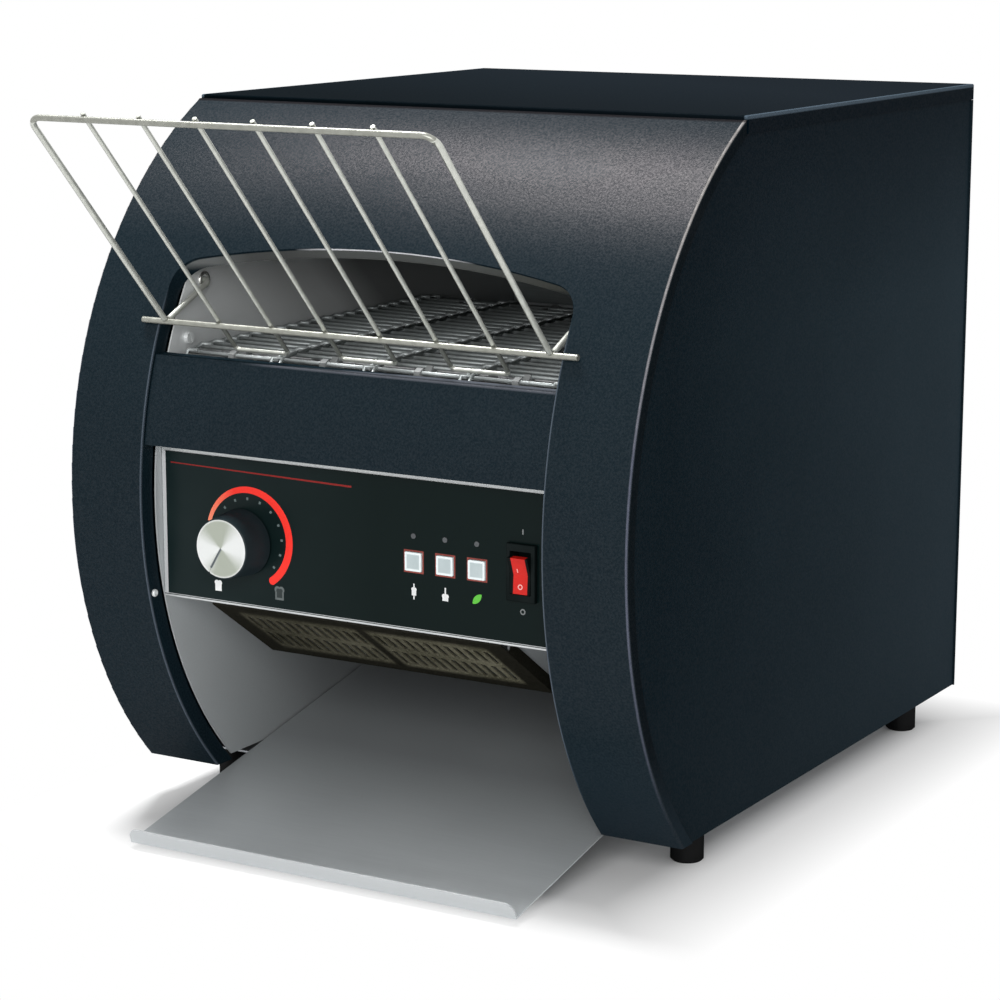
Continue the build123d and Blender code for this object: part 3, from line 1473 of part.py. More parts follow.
with BuildPart() as motor_shaft:
    with BuildSketch(Plane.YZ.offset(hub_end_x)):
        with Locations((motor_centre.Y, motor_centre.Z)):
            Circle(motor_shaft_diameter / 2)
    extrude(amount=-(hub_end_x - wall_outer_x - gearbox_boss_proud + gearbox_length / 2 - shaft_end_play))
motor_shaft.part.label = "motor_shaft"
export_step(motor_shaft.part, "parts/motor_shaft.step")

# --- heating elements: sheathed rods between the walls, with a stud at each end ------------------------
element_sets = {
    "upper_elements": [at(depth, upper_element_height) for depth in upper_element_depths],
    "lower_elements": [at(depth, lower_element_height) for depth in lower_element_depths],
}
element_end_x = wall_outer_x + element_overhang
for set_name, places in element_sets.items():
    with BuildPart() as elements:
        with BuildSketch(Plane.YZ):
            with Locations(*places):
                Circle(element_diameter / 2)
        extrude(amount=element_end_x, both=True)
        with BuildSketch(Plane.YZ):
            with Locations(*places):
                Circle(element_stud_diameter / 2)
        extrude(amount=element_end_x + element_stud_length, both=True)
    elements.part.label = set_name
    export_step(elements.part, f"parts/{set_name}.step")

with BuildPart() as element_insulators:
    for side in (-1, 1):
        with BuildSketch(Plane.YZ.offset(side * wall_outer_x)):
            with Locations(*[at(*place) for place in element_places]):
                Circle(insulator_diameter / 2)
        extrude(amount=side * insulator_flange)
        with BuildSketch(Plane.YZ.offset(side * (half_chamber - insulator_flange))):
            with Locations(*[at(*place) for place in element_places]):
                Circle(insulator_neck / 2)
        extrude(amount=side * (wall_sheet + insulator_flange))
        with BuildSketch(Plane.YZ.offset(side * (half_chamber - insulator_flange))):
            with Locations(*[at(*place) for place in element_places]):
                Circle(element_diameter / 2 + insulator_bore_gap)
        extrude(amount=side * (wall_sheet + 2 * insulator_flange), mode=Mode.SUBTRACT)
element_insulators.part.label = "element_insulators"
export_step(element_insulators.part, "parts/element_insulators.step")

# --- relay on the compartment's floor, terminal block on the base pan ----------------------------------
relay_x = relay_inset - half_chamber
with BuildPart() as relay:
    with BuildSketch(Plane.XY.offset(base_z + panel_bottom + sheet)):
        with Locations((relay_x, panel_y + relay_behind_panel)):
            RectangleRounded(relay_width, relay_depth, relay_corner_radius)
    extrude(amount=relay_height)
    with BuildSketch(Plane.XY.offset(base_z + panel_bottom + sheet + relay_height)):
        with Locations((relay_x, panel_y + relay_behind_panel)):
            with GridLocations(relay_width / 2, relay_depth / 2, 2, 2):
                Rectangle(relay_tab_width, relay_tab_sheet)
    extrude(amount=relay_tab_height)
relay.part.label = "relay"
export_step(relay.part, "parts/relay.step")

terminal_y = front_y + base_rear_depth - sheet - terminal_rear_gap - terminal_width / 2
terminal_step = terminal_length / terminal_ways
terminal_x = (wall_outer_x + compartment_outer_x) / 2
with BuildPart() as terminal_block:
    with BuildSketch(Plane.XY.offset(base_z + sheet)):
        with Locations((terminal_x, terminal_y)):
            Rectangle(terminal_width, terminal_length)
    extrude(amount=terminal_height)
    with BuildSketch(Plane.XY.offset(base_z + sheet + terminal_height)):
        with Locations((terminal_x, terminal_y)):
            with GridLocations(0, terminal_step, 1, terminal_ways):
                Rectangle(terminal_width - 2 * terminal_rib, terminal_step - terminal_rib)
    extrude(amount=-terminal_height / 2, mode=Mode.SUBTRACT)
    with BuildSketch(Plane.XY.offset(base_z + sheet + terminal_height / 2)):
        with Locations((terminal_x, terminal_y)):
            with GridLocations(terminal_width / 2, terminal_step, 2, terminal_ways):
                Circle(terminal_screw_diameter / 2)
    extrude(amount=terminal_screw_height)
terminal_block.part.label = "terminal_block"
export_step(terminal_block.part, "parts/terminal_block.step")

# --- thermostat: disc on the outer face of the left wall, with two tabs --------------------------------
with BuildPart() as thermostat:
    with BuildSketch(Plane.YZ.offset(-wall_outer_x)):
        with Locations(at(thermostat_depth, thermostat_height)):
            Circle(thermostat_diameter / 2)
    extrude(amount=-thermostat_length)
    with BuildSketch(Plane.YZ.offset(-wall_outer_x)):
        with Locations(at(thermostat_depth, thermostat_height)):
            SlotOverall(thermostat_flange + thermostat_diameter / 2, thermostat_diameter / 2)
    extrude(amount=-sheet)
    with BuildSketch(Plane.YZ.offset(-wall_outer_x - thermostat_length)):
        with Locations(at(thermostat_depth, thermostat_height)):
            with GridLocations(thermostat_diameter / 2, 0, 2, 1):
                Rectangle(relay_tab_sheet, relay_tab_width)
    extrude(amount=-relay_tab_height)
thermostat.part.label = "thermostat"
export_step(thermostat.part, "parts/thermostat.step")

# --- cord gland in the back panel ----------------------------------------------------------------------
back_y = front_y + body_depth
with BuildPart() as cord_gland:
    with BuildSketch(Plane.XZ.offset(-back_y)):
        with Locations((gland_x, base_z + gland_height)):
            Circle(gland_flange_diameter / 2)
    extrude(amount=-gland_flange)
    chamfer(cord_gland.edges().sort_by(Axis.Y)[-1], knob_rim_chamfer)
    with BuildSketch(Plane.XZ.offset(-back_y)):
        with Locations((gland_x, base_z + gland_height)):
            Circle(gland_thread_diameter / 2)
    extrude(amount=gland_length)
    with BuildSketch(Plane.XZ.offset(-back_y - gland_flange)):
        with Locations((gland_x, base_z + gland_height)):
            Circle(gland_bore / 2)
    extrude(amount=gland_flange + gland_length, mode=Mode.SUBTRACT)
cord_gland.part.label = "cord_gland"
export_step(cord_gland.part, "parts/cord_gland.step")

# --- wall fixings: a screw in each inner wall and a rivet in each leg's flange --------------------------
wall_screw_y, wall_screw_z = at(wall_screw_depth, wall_screw_height)
rivet_y, rivet_z = at(rivet_depth, rivet_height)
with BuildPart() as wall_fixings:
    for side in (-1, 1):
        with BuildSketch(Plane.YZ.offset(side * half_chamber)):
            with Locations((wall_screw_y, wall_screw_z)):
                Circle(screw_head_diameter / 2)
        extrude(amount=-side * screw_head_height)
        with BuildSketch(Plane.YZ.offset(side * half_chamber)):
            with Locations((wall_screw_y, wall_screw_z)):
                Circle(screw_shank_diameter / 2)
        extrude(amount=side * screw_shank_length)
        with BuildSketch(Plane.YZ.offset(side * (half_chamber - screw_head_height))):
            with Locations((wall_screw_y, wall_screw_z)):
                Rectangle(screw_slot_depth, screw_head_diameter, rotation=screw_slot_angle)
        extrude(amount=side * screw_slot_depth, mode=Mode.SUBTRACT)
        with BuildSketch(Plane.YZ.offset(side * window_half_width)):
            with Locations((rivet_y, rivet_z)):
                Circle(rivet_diameter / 2)
        extrude(amount=-side * rivet_proud)
        with BuildSketch(Plane.YZ.offset(side * window_half_width)):
            with Locations((rivet_y, rivet_z)):
                Circle(rivet_shank_diameter / 2)
        extrude(amount=side * rivet_length)
    rivet_rims = wall_fixings.edges().filter_by(GeomType.CIRCLE).filter_by(
        lambda edge: abs(abs(edge.center().X) - window_half_width + rivet_proud) < shaft_running_gap
    )
    fillet(rivet_rims, rivet_proud / 2)
wall_fixings.part.label = "wall_fixings"
export_step(wall_fixings.part, "parts/wall_fixings.step")

# --- housing screws: pan heads with a straight slot, through the back panel ------------------------------
with BuildPart() as housing_screws:
    for side in (-1, 1):
        rear_screw_places = [(side * rear_screw_x, base_z + height) for height in rear_screw_heights]
        with BuildSketch(Plane.XZ.offset(-back_y)):
            with Locations(*rear_screw_places):
                Circle(screw_head_diameter / 2)
        extrude(amount=-screw_head_height)
        with BuildSketch(Plane.XZ.offset(-back_y)):
            with Locations(*rear_screw_places):
                Circle(screw_shank_diameter / 2)
        extrude(amount=screw_shank_length)
        with BuildSketch(Plane.XZ.offset(-back_y - screw_head_height)):
            with Locations(*rear_screw_places):
                Rectangle(screw_slot_depth, screw_head_diameter)
        extrude(amount=screw_slot_depth, mode=Mode.SUBTRACT)
housing_screws.part.label = "housing_screws"
export_step(housing_screws.part, "parts/housing_screws.step")
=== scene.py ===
import json
from math import cos, pi, radians, sin

import bmesh
import bpy
from mathutils import Matrix, Vector


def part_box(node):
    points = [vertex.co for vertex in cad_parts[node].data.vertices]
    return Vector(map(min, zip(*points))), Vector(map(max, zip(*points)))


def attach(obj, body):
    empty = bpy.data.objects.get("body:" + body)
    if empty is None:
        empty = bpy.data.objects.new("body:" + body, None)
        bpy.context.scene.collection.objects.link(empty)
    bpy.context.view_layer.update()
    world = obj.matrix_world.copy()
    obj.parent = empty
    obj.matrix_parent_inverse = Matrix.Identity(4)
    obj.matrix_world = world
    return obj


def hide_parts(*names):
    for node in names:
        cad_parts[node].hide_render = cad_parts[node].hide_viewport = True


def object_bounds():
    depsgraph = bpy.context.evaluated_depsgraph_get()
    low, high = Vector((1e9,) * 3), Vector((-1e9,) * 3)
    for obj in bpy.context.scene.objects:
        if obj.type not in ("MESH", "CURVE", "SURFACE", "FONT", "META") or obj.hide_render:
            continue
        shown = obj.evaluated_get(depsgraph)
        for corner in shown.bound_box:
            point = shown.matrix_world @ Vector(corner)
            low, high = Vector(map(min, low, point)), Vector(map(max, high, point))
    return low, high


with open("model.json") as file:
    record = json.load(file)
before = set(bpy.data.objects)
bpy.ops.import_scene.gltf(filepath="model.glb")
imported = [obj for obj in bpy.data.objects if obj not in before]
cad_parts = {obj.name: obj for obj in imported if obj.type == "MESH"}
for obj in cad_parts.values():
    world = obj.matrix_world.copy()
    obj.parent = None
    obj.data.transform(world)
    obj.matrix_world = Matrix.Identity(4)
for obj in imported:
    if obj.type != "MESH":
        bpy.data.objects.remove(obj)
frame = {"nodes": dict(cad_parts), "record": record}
cad_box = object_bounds()
nodes = frame["nodes"]
MM = 0.001


# --- shader values ---------------------------------------------------------------------------------------
class Signal:
    """A socket that can be used in sums. Each operator adds a Math node."""

    def __init__(self, finish, socket):
        self.finish = finish
        self.socket = socket

    def __add__(self, other):
        return self.finish.maths("ADD", self, other)

    def __radd__(self, other):
        return self.finish.maths("ADD", other, self)

    def __sub__(self, other):
        return self.finish.maths("SUBTRACT", self, other)

    def __rsub__(self, other):
        return self.finish.maths("SUBTRACT", other, self)

    def __mul__(self, other):
        return self.finish.maths("MULTIPLY", self, other)

    def __rmul__(self, other):
        return self.finish.maths("MULTIPLY", other, self)

    def __truediv__(self, other):
        return self.finish.maths("DIVIDE", self, other)

    def __lt__(self, other):
        return self.finish.maths("LESS_THAN", self, other)

    def __gt__(self, other):
        return self.finish.maths("GREATER_THAN", self, other)

    def __abs__(self):
        return self.finish.maths("ABSOLUTE", self)

    def __or__(self, other):
        return self.finish.maths("MAXIMUM", self, other)

    def __and__(self, other):
        return self.finish.maths("MINIMUM", self, other)


class Tree:
    """The nodes of a material or of the world."""

    def __init__(self, owner):
        owner.use_nodes = True
        self.tree = owner.node_tree
        self.tree.nodes.clear()

    def node(self, kind, settings=None, inputs=None, output=0):
        """A new node's output, as a signal."""
        node = self.tree.nodes.new(kind)
        for name, value in (settings or {}).items():
            setattr(node, name, value)
        for name, value in (inputs or {}).items():
            socket = node.inputs[name]
            if isinstance(value, Signal):
                self.tree.links.new(value.socket, socket)
            elif isinstance(value, tuple) and socket.type == "RGBA":
                socket.default_value = (*value, 1.0)
            else:
                socket.default_value = value
        return Signal(self, node.outputs[output] if len(node.outputs) else None)

    def maths(self, operation, *values):
        return self.node("ShaderNodeMath", {"operation": operation}, dict(enumerate(values)))

    def ramp(self, value, low, high, bottom=0.0, top=1.0):
        """The value, moved from one range to another and held inside it."""
        inputs = {"Value": value, "From Min": low, "From Max": high, "To Min": bottom, "To Max": top}
        return self.node("ShaderNodeMapRange", {}, inputs)

    def mirror_rays(self):
        """1 for the camera's rays and those that metal and glass send on, 0 for all others."""
        camera = self.node("ShaderNodeLightPath", output="Is Camera Ray")
        glossy = self.node("ShaderNodeLightPath", output="Is Glossy Ray")
        through = self.node("ShaderNodeLightPath", output="Is Transmission Ray")
        return camera | glossy | through


class Finish(Tree):
    """A material under construction."""

    def __init__(self, name):
        self.material = bpy.data.materials.new(name)
        super().__init__(self.material)
        self.place = self.node("ShaderNodeTexCoord", output="Object")
        vector = {"Vector": self.place}
        self.axes = {axis: self.node("ShaderNodeSeparateXYZ", {}, vector, axis) for axis in "XYZ"}

    def mm(self, axis):
        """An object coordinate in millimetres."""
        return self.axes[axis] / MM

    def blend(self, factor, first, second):
        """One colour where the factor is 0, the other where it is 1."""
        settings = {"data_type": "RGBA"}
        return self.node("ShaderNodeMix", settings, {0: factor, 6: first, 7: second}, 2)

    def stretched(self, scale):
        """Object coordinates, scaled per axis."""
        return self.node("ShaderNodeMapping", {}, {"Vector": self.place, "Scale": scale})

    def noise(self, scale, detail=2.0, place=None):
        inputs = {"Vector": place or self.place, "Scale": scale, "Detail": detail}
        return self.node("ShaderNodeTexNoise", {}, inputs, "Fac")

    def bump(self, height, distance, strength):
        inputs = {"Height": height, "Distance": distance, "Strength": strength}
        return self.node("ShaderNodeBump", {}, inputs, "Normal")

    def principled(self, **inputs):
        """A principled shader with these sockets, underscores standing for spaces."""
        sockets = {name.replace("_", " "): value for name, value in inputs.items()}
        return self.node("ShaderNodeBsdfPrincipled", {}, sockets, "BSDF")

    def surface(self, **inputs):
        """The finished material: one principled surface."""
        self.node("ShaderNodeOutputMaterial", {}, {"Surface": self.principled(**inputs)})
        return self.material

    def glazed(self, share, colour, roughness, **inputs):
        """The finished material: a matt surface with a share of even gloss over it."""
        matt = self.principled(Specular_IOR_Level=0.0, **inputs)
        gloss = {"Base_Color": colour, "Metallic": 1.0, "Roughness": roughness}
        if "Normal" in inputs:
            gloss["Normal"] = inputs["Normal"]
        mixed = self.node("ShaderNodeMixShader", {}, {0: share, 1: matt, 2: self.principled(**gloss)})
        self.node("ShaderNodeOutputMaterial", {}, {"Surface": mixed})
        return self.material


# --- finishes --------------------------------------------------------------------------------------------
wrap_low, wrap_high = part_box("front_wrap")
bar_low, bar_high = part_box("fascia_bar")
cover_low, cover_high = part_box("top_cover")
# Sizes are in millimetres, angles in degrees and grains in cells per metre.
WRAP_RADIUS = 254.0
WRAP_AXIS_HEIGHT = 200.0
ARC_AXIS_DEPTH = wrap_low.y / MM + WRAP_RADIUS
CASE_HALF_WIDTH = wrap_high.x / MM
LEG_INNER_X = 133.0
WINDOW_SILL = 318.0
WINDOW_TOP = 390.0
COAT_GRAIN = 850.0
COAT_GLOSS = 0.0108
GLOSS_SPREAD = 0.38
COAT_SHEEN = (0.95, 0.86, 0.86)
COAT_SHEEN_ROUGHNESS = 0.36
PANEL_GLOSS = 0.62
COAT_DARK = (0.0042, 0.0104, 0.0148)
COAT_LIGHT = (0.0050, 0.0124, 0.0174)

SHEET_GRAIN = (30.0, 900.0, 900.0)
MOULD_GRAIN = 900.0
# Height and slope of the painted shade deep in the chamber.
DEEP_SHADE_HEIGHT = 310.0
DEEP_SHADE_LEAN = 1.2

RACK_LEAN = 46.7
RACK_LENGTH = 170.0
RACK_WIRE = 3.5
RACK_FOOT_HEIGHT = 304.5
RACK_HALF_WIDTH = 127.0
RACK_ROD_SPACING = 2 * RACK_HALF_WIDTH / 7
RACK_TAIL = 24.0

# The panel's marks are placed from the middle of the speed knob.
SCALE_X = 3.2
SCALE_Z = 2.3
SCALE_START = 165.0
SCALE_END = -55.0
SCALE_RADIUS = 28.2
TICK_RADIUS = 23.0
TICK_STEP = 22.0
TICK_SHIFT = 8.0
LIGHT_TOAST = (-18.7, -28.0)
DARK_TOAST = (24.1, -27.5)
FILM_EDGE_X = -54.7
STRIPE_X = 11.5
STRIPE_Z = 40.7
STRIPE_FALL = 0.016
LIP_LINE_DROP = 0.75
LIP_LINE = 0.55
POINTER_ANGLE = 238.0
BUTTONS = ("button_1", "button_2", "button_3")
CAP_HALF = 5.3
LENS_HALF = 4.4
LENS_SHIFT = 0.3
SLOT_GROUP_X = 43.5
SLOT_GROUP_HALF = 38.5


def powder_coat(name, marks_and_painted_light=None, shade=1.0):
    """Grained powder coat: millimetre grains and a slight drift of tone, with a piece's own marks and painted
    light; shade darkens its tone as painted shade.
    """
    coat = Finish(name)
    grains = coat.noise(COAT_GRAIN, 2.0)
    drift = coat.noise(9.0, 2.0)
    dark, light = (tuple(channel * shade for channel in colour) for colour in (COAT_DARK, COAT_LIGHT))
    tone = coat.blend(coat.ramp(grains * 0.7 + drift * 0.3, 0.38, 0.62), dark, light)
    spread = COAT_GLOSS * GLOSS_SPREAD
    share = coat.ramp(grains, 0.36, 0.64, COAT_GLOSS - spread, COAT_GLOSS + spread)
    if marks_and_painted_light:
        tone, share = marks_and_painted_light(coat, tone, share)
    return coat.glazed(
        share,
        COAT_SHEEN,
        COAT_SHEEN_ROUGHNESS,
        Base_Color=tone,
        Roughness=0.7,
        Normal=coat.bump(grains, 0.0001, 0.5),
    )


def arc_reach(coat):
    """Distance from the axis of the front cover's arc, in millimetres."""
    depth = coat.mm("Y") - ARC_AXIS_DEPTH
    rise = coat.mm("Z") - WRAP_AXIS_HEIGHT
    return coat.maths("SQRT", depth * depth + rise * rise)


def wrap_edges(coat, tone, reach):
    """The front cover's tone with painted highlights along its sides and legs and painted shade on its side
    returns, and its masks of side returns and top edge.
    """
    height = coat.mm("Z")
    side = abs(coat.mm("X"))
    skin = coat.ramp(reach, WRAP_RADIUS - 1.6, WRAP_RADIUS - 0.6)
    outer = coat.ramp(side, CASE_HALF_WIDTH - 1.1, CASE_HALF_WIDTH - 0.5)
    # Painted highlight: a pale line along the rolled outer edges of the sides.
    painted_light = coat.blend(coat.ramp(height, 255.0, 375.0), (0.085, 0.095, 0.130), (0.40, 0.38, 0.37))
    tone = coat.blend(outer * skin * coat.ramp(height, 40.0, 200.0, 0.35, 1.0), tone, painted_light)
    # Painted highlight: a thin pale line along the inner edges of the legs.
    legs = coat.ramp(abs(side - LEG_INNER_X), 0.3, 1.0, 1.0, 0.0)
    legs = legs * coat.ramp(height, WINDOW_SILL - 18.0, WINDOW_SILL + 4.0, 1.0, 0.0)
    tone = coat.blend(legs * skin * 0.45, tone, (0.13, 0.16, 0.20))
    # Painted shade: the side returns darkened to near black.
    turn = coat.ramp(side, CASE_HALF_WIDTH - 0.6, CASE_HALF_WIDTH - 0.2)
    turn = turn * coat.ramp(reach, WRAP_RADIUS - 2.6, WRAP_RADIUS - 1.8, 1.0, 0.0)
    tone = coat.blend(turn * 0.7, tone, (0.0006, 0.0020, 0.0030))
    top = coat.ramp(height, wrap_high.z / MM - 1.4, wrap_high.z / MM - 0.5)
    return coat.blend(top * 0.8, tone, (0.0110, 0.0090, 0.0095)), turn, top


def wrap_window(coat, tone, reach):
    """The front cover's tone with the window's bare steel lining under a painted reflection, and a painted
    highlight on its rim, and the masks of that lining and its rim.
    """
    height = coat.mm("Z")
    across = coat.mm("X")
    side = abs(across)
    below_top = height < WINDOW_TOP
    lining = coat.ramp(reach, WRAP_RADIUS - 2.4, WRAP_RADIUS - 1.6, 1.0, 0.0)
    lining = lining * (side < LEG_INNER_X + 2.0) * below_top
    lining = lining * coat.ramp(height, WINDOW_SILL + 13.0, WINDOW_SILL + 18.0)
    # The lining's tones across are painted reflection: pale at the left, dark at the right.
    steel = coat.blend(coat.ramp(across, -112.0, -88.0), (0.14, 0.15, 0.15), (0.068, 0.072, 0.071))
    steel = coat.blend(coat.ramp(across, -60.0, -25.0), steel, (0.092, 0.099, 0.096))
    steel = coat.blend(coat.ramp(across, 50.0, 120.0), steel, (0.052, 0.055, 0.048))
    tone = coat.blend(lining, tone, steel)
    # Painted highlight: a pale line along the window's rolled top edge.
    rim = (reach > WRAP_RADIUS - 2.0) & (reach < WRAP_RADIUS - 0.4) & (side < LEG_INNER_X) & below_top
    rim = rim * coat.ramp(height, WINDOW_SILL, WINDOW_SILL + 4.0)
    rim = rim * coat.ramp(abs(across - 4.0), 36.0, 60.0, 1.0, 0.0)
    return coat.blend(rim, tone, (0.80, 0.81, 0.85)), lining, rim


def wrap_marks_and_light(coat, tone, share):
    """The front cover: painted highlights and shade along its edges, a window lined with steel under a painted
    reflection and highlight, a paler right foot and a polished brow.
    """
    height = coat.mm("Z")
    across = coat.mm("X")
    reach = arc_reach(coat)
    tone, turn, top = wrap_edges(coat, tone, reach)
    tone, lining, rim = wrap_window(coat, tone, reach)
    foot = coat.ramp(height, 35.0, 95.0, 1.0, 0.0) * (across > LEG_INNER_X)
    tone = coat.blend(foot, tone, (0.0105, 0.0190, 0.0260))
    brow = coat.ramp(height, 350.0, 364.0)
    polish = coat.ramp(height, 382.0, 401.0, 0.80, 0.0) * coat.ramp(across, -110.0, -20.0, 1.0, 0.0)
    polish = polish + coat.ramp(height, 378.0, 386.0, 0.32, 0.0) * coat.ramp(across, -70.0, 0.0)
    share = share * (1.0 + brow * polish)
    return tone, share * (1.0 - top * 0.9) * (1.0 - turn * 0.6) + lining * 0.04 + rim * 0.15


def bar_painted_highlight(coat, tone, share):
    """The fascia bar's folded top edge, with a painted highlight along it, wider to the right."""
    fold_highlight = coat.ramp(coat.mm("Z"), bar_high.z / MM - 1.5, bar_high.z / MM - 0.5)
    depth = coat.mm("Y") - bar_low.y / MM
    painted_light = coat.ramp(coat.mm("X"), -120.0, 125.0, 6.0, 28.0)
    # Painted highlight: a pale lavender line along the front of the fold.
    line = coat.ramp(depth - painted_light, 0.0, 2.0, 1.0, 0.0)
    return coat.blend(fold_highlight * line * 0.8, tone, (0.090, 0.098, 0.115)), share


def panel_painted_shade(coat, tone, share):
    """A side panel with painted shade: a painted shadow under the front cover's rolled edge, paler to the rear
    and darker to the top.
    """
    depth = coat.mm("Y")
    drift = coat.noise(7.0, 3.0) - 0.5
    # Painted shade: darker to the front and top, paler to the rear.
    rear = coat.ramp(depth + drift * 160.0, -150.0, 260.0)
    tone = coat.blend(rear, (0.0010, 0.0068, 0.0108), (0.0190, 0.0325, 0.0425))
    tone = coat.blend(coat.ramp(coat.mm("Z"), 300.0, 425.0, 0.0, 0.75), tone, (0.0002, 0.0035, 0.0068))
    # Painted shadow in a band under the front cover's rolled edge.
    painted_seam_shadow = coat.ramp(arc_reach(coat), WRAP_RADIUS - 7.0, WRAP_RADIUS - 5.0) * (depth < ARC_AXIS_DEPTH)
    return coat.blend(painted_seam_shadow * 0.8, tone, (0.0002, 0.0010, 0.0018)), share * PANEL_GLOSS


def cover_painted_light(coat, tone, share):
    """The top cover with painted light: paler to the right and rear, its flanges in the side panels' painted
    shade, with a painted highlight along each fold.
    """
    side = abs(coat.mm("X"))
    fall = cover_high.z / MM - coat.mm("Z")
    # Painted light: paler to the right and rear.
    pale = coat.ramp(coat.mm("X") * 0.6 + coat.mm("Y"), -90.0, 210.0)
    tone = coat.blend(pale, tone, (0.0054, 0.0089, 0.0123))
    flange = coat.ramp(side, CASE_HALF_WIDTH - 0.5, CASE_HALF_WIDTH - 0.1)
    # Painted shade on the flanges, as on the side panels.
    rear = coat.ramp(coat.mm("Y"), -60.0, 260.0)
    shade = coat.blend(rear, (0.0004, 0.0040, 0.0072), (0.0034, 0.0080, 0.0120))
    tone = coat.blend(flange, tone, shade)
    # Painted highlight along each fold.
    fold_highlight = coat.ramp(side, CASE_HALF_WIDTH - 2.2, CASE_HALF_WIDTH - 1.4) * coat.ramp(fall, 1.6, 2.4, 1.0, 0.0)
    tone = coat.blend(fold_highlight * 0.8, tone, (0.075, 0.105, 0.135))
    front = coat.ramp(coat.mm("Y"), cover_low.y / MM + 1.6, cover_low.y / MM + 2.2, 1.0, 0.0)
    return tone, share * PANEL_GLOSS * (1.0 - front * 0.9)


def sheet_steel(name, dark, light, roughness, metal, painted_rear_shade=None, painted_top_light=None, painted_deep_shade=None, lip=None):
    """Stainless sheet with a fine grain and soft handling marks.

    In order, the keywords paint shade to the rear, light to the top, deeper shade to the rear and top, and
    shade on its front edge. Each is a low end, a high end and a share or a colour.
    """
    steel = Finish(name)
    streaks = steel.noise(1.0, 4.0, steel.stretched(SHEET_GRAIN))
    clouds = steel.noise(14.0, 3.0)
    tone = steel.blend(steel.ramp(streaks * 0.5 + clouds * 0.5, 0.35, 0.65), dark, light)
    # Painted shade: darker to the rear.
    if painted_rear_shade:
        front, rear, share = painted_rear_shade
        darkened = steel.ramp(steel.mm("Y") + clouds * 16.0, front, rear, 0.0, share)
        tone = steel.blend(darkened, tone, (0.078, 0.084, 0.084))
    # Painted light: paler to the top.
    if painted_top_light:
        low, high, share = painted_top_light
        tone = steel.blend(steel.ramp(steel.mm("Z"), low, high, 0.0, share), tone, (0.90, 0.92, 0.92))
    # Painted shade: darker deep in to the rear, more so higher up.
    if painted_deep_shade:
        front, rear, share = painted_deep_shade
        drifting = steel.mm("Y") + (steel.mm("Z") - DEEP_SHADE_HEIGHT) * DEEP_SHADE_LEAN + clouds * 10.0
        tone = steel.blend(steel.ramp(drifting, front, rear, 0.0, share), tone, (0.012, 0.018, 0.018))
    # Painted shade on the front edge.
    if lip:
        low, high, colour = lip
        tone = steel.blend(steel.ramp(steel.mm("Y"), low, high, 1.0, 0.0), tone, colour)
    return steel.surface(
        Base_Color=tone,
        Metallic=metal,
        Roughness=steel.ramp(streaks * 0.6 + clouds * 0.4, 0.3, 0.7, roughness - 0.05, roughness + 0.07),
        Normal=steel.bump(streaks, 0.00002, 0.35),
    )


def bright_metal(name, dark, light, roughness, share=0.9):
    """Turned or drawn metal with faint marks of its making."""
    metal = Finish(name)
    marks = metal.noise(220.0, 3.0)
    return metal.surface(
        Base_Color=metal.blend(metal.ramp(marks, 0.3, 0.7), dark, light),
        Metallic=share,
        Roughness=metal.ramp(marks, 0.3, 0.7, roughness - 0.03, roughness + 0.03),
    )


def rack_wire(name):
    """The feed rack's wires: bright rods with painted shade along each one's left side and on the tails below
    the front bar, between two bars painted darker as shade.
    """
    wire = Finish(name)
    lean = radians(RACK_LEAN)
    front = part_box("feed_rack")[0].y / MM
    depth = wire.mm("Y") - (front + RACK_WIRE / 2 + RACK_LENGTH * cos(lean))
    rise = wire.mm("Z") - RACK_FOOT_HEIGHT
    up = rise * sin(lean) - depth * cos(lean)
    off = depth * sin(lean) + rise * cos(lean)
    marks = wire.ramp(wire.noise(260.0, 3.0), 0.3, 0.7)
    tone = wire.blend(marks, (0.50, 0.515, 0.470), (0.60, 0.615, 0.565))
    place = wire.mm("X") + RACK_HALF_WIDTH + RACK_ROD_SPACING / 2
    aside = wire.maths("FLOORED_MODULO", place, RACK_ROD_SPACING) - RACK_ROD_SPACING / 2
    # Painted shade along each rod's left side.
    shaded_side = wire.ramp(aside, -0.6, -0.1, 1.0, 0.0) * (up > 3.0) * (up < RACK_LENGTH - 3.0)
    tone = wire.blend(shaded_side * 0.8, tone, (0.060, 0.062, 0.050))
    # Painted shade on the rods' tails below the front bar.
    shaded_tails = (up < -3.0) * (up > -RACK_TAIL + 3.0) * (abs(off) < 6.0)
    tone = wire.blend(shaded_tails * 0.7, tone, (0.060, 0.065, 0.060))
    bar_reach = RACK_WIRE / 2 + 0.65
    bars = (abs(up) < bar_reach) | (abs(up - RACK_LENGTH) < bar_reach)
    # The two bars are painted darker, standing in for their shade.
    shaded_bar = wire.blend(marks, (0.245, 0.250, 0.220), (0.310, 0.315, 0.280))
    tone = wire.blend(bars * (abs(off) < RACK_WIRE / 2 + 0.45), tone, shaded_bar)
    return wire.surface(Base_Color=tone, Metallic=0.6, Roughness=wire.ramp(marks, 0.0, 1.0, 0.31, 0.37))


def moulding(name, dark, light, roughness):
    """Moulded plastic, ceramic, board or oiled metal with a fine surface grain."""
    plastic = Finish(name)
    grains = plastic.noise(MOULD_GRAIN, 2.0)
    drift = plastic.noise(25.0, 2.0)
    return plastic.surface(
        Base_Color=plastic.blend(plastic.ramp(drift, 0.35, 0.65), dark, light),
        Roughness=plastic.ramp(drift, 0.3, 0.7, roughness - 0.04, roughness + 0.05),
        Normal=plastic.bump(grains, 0.00003, 0.5),
    )


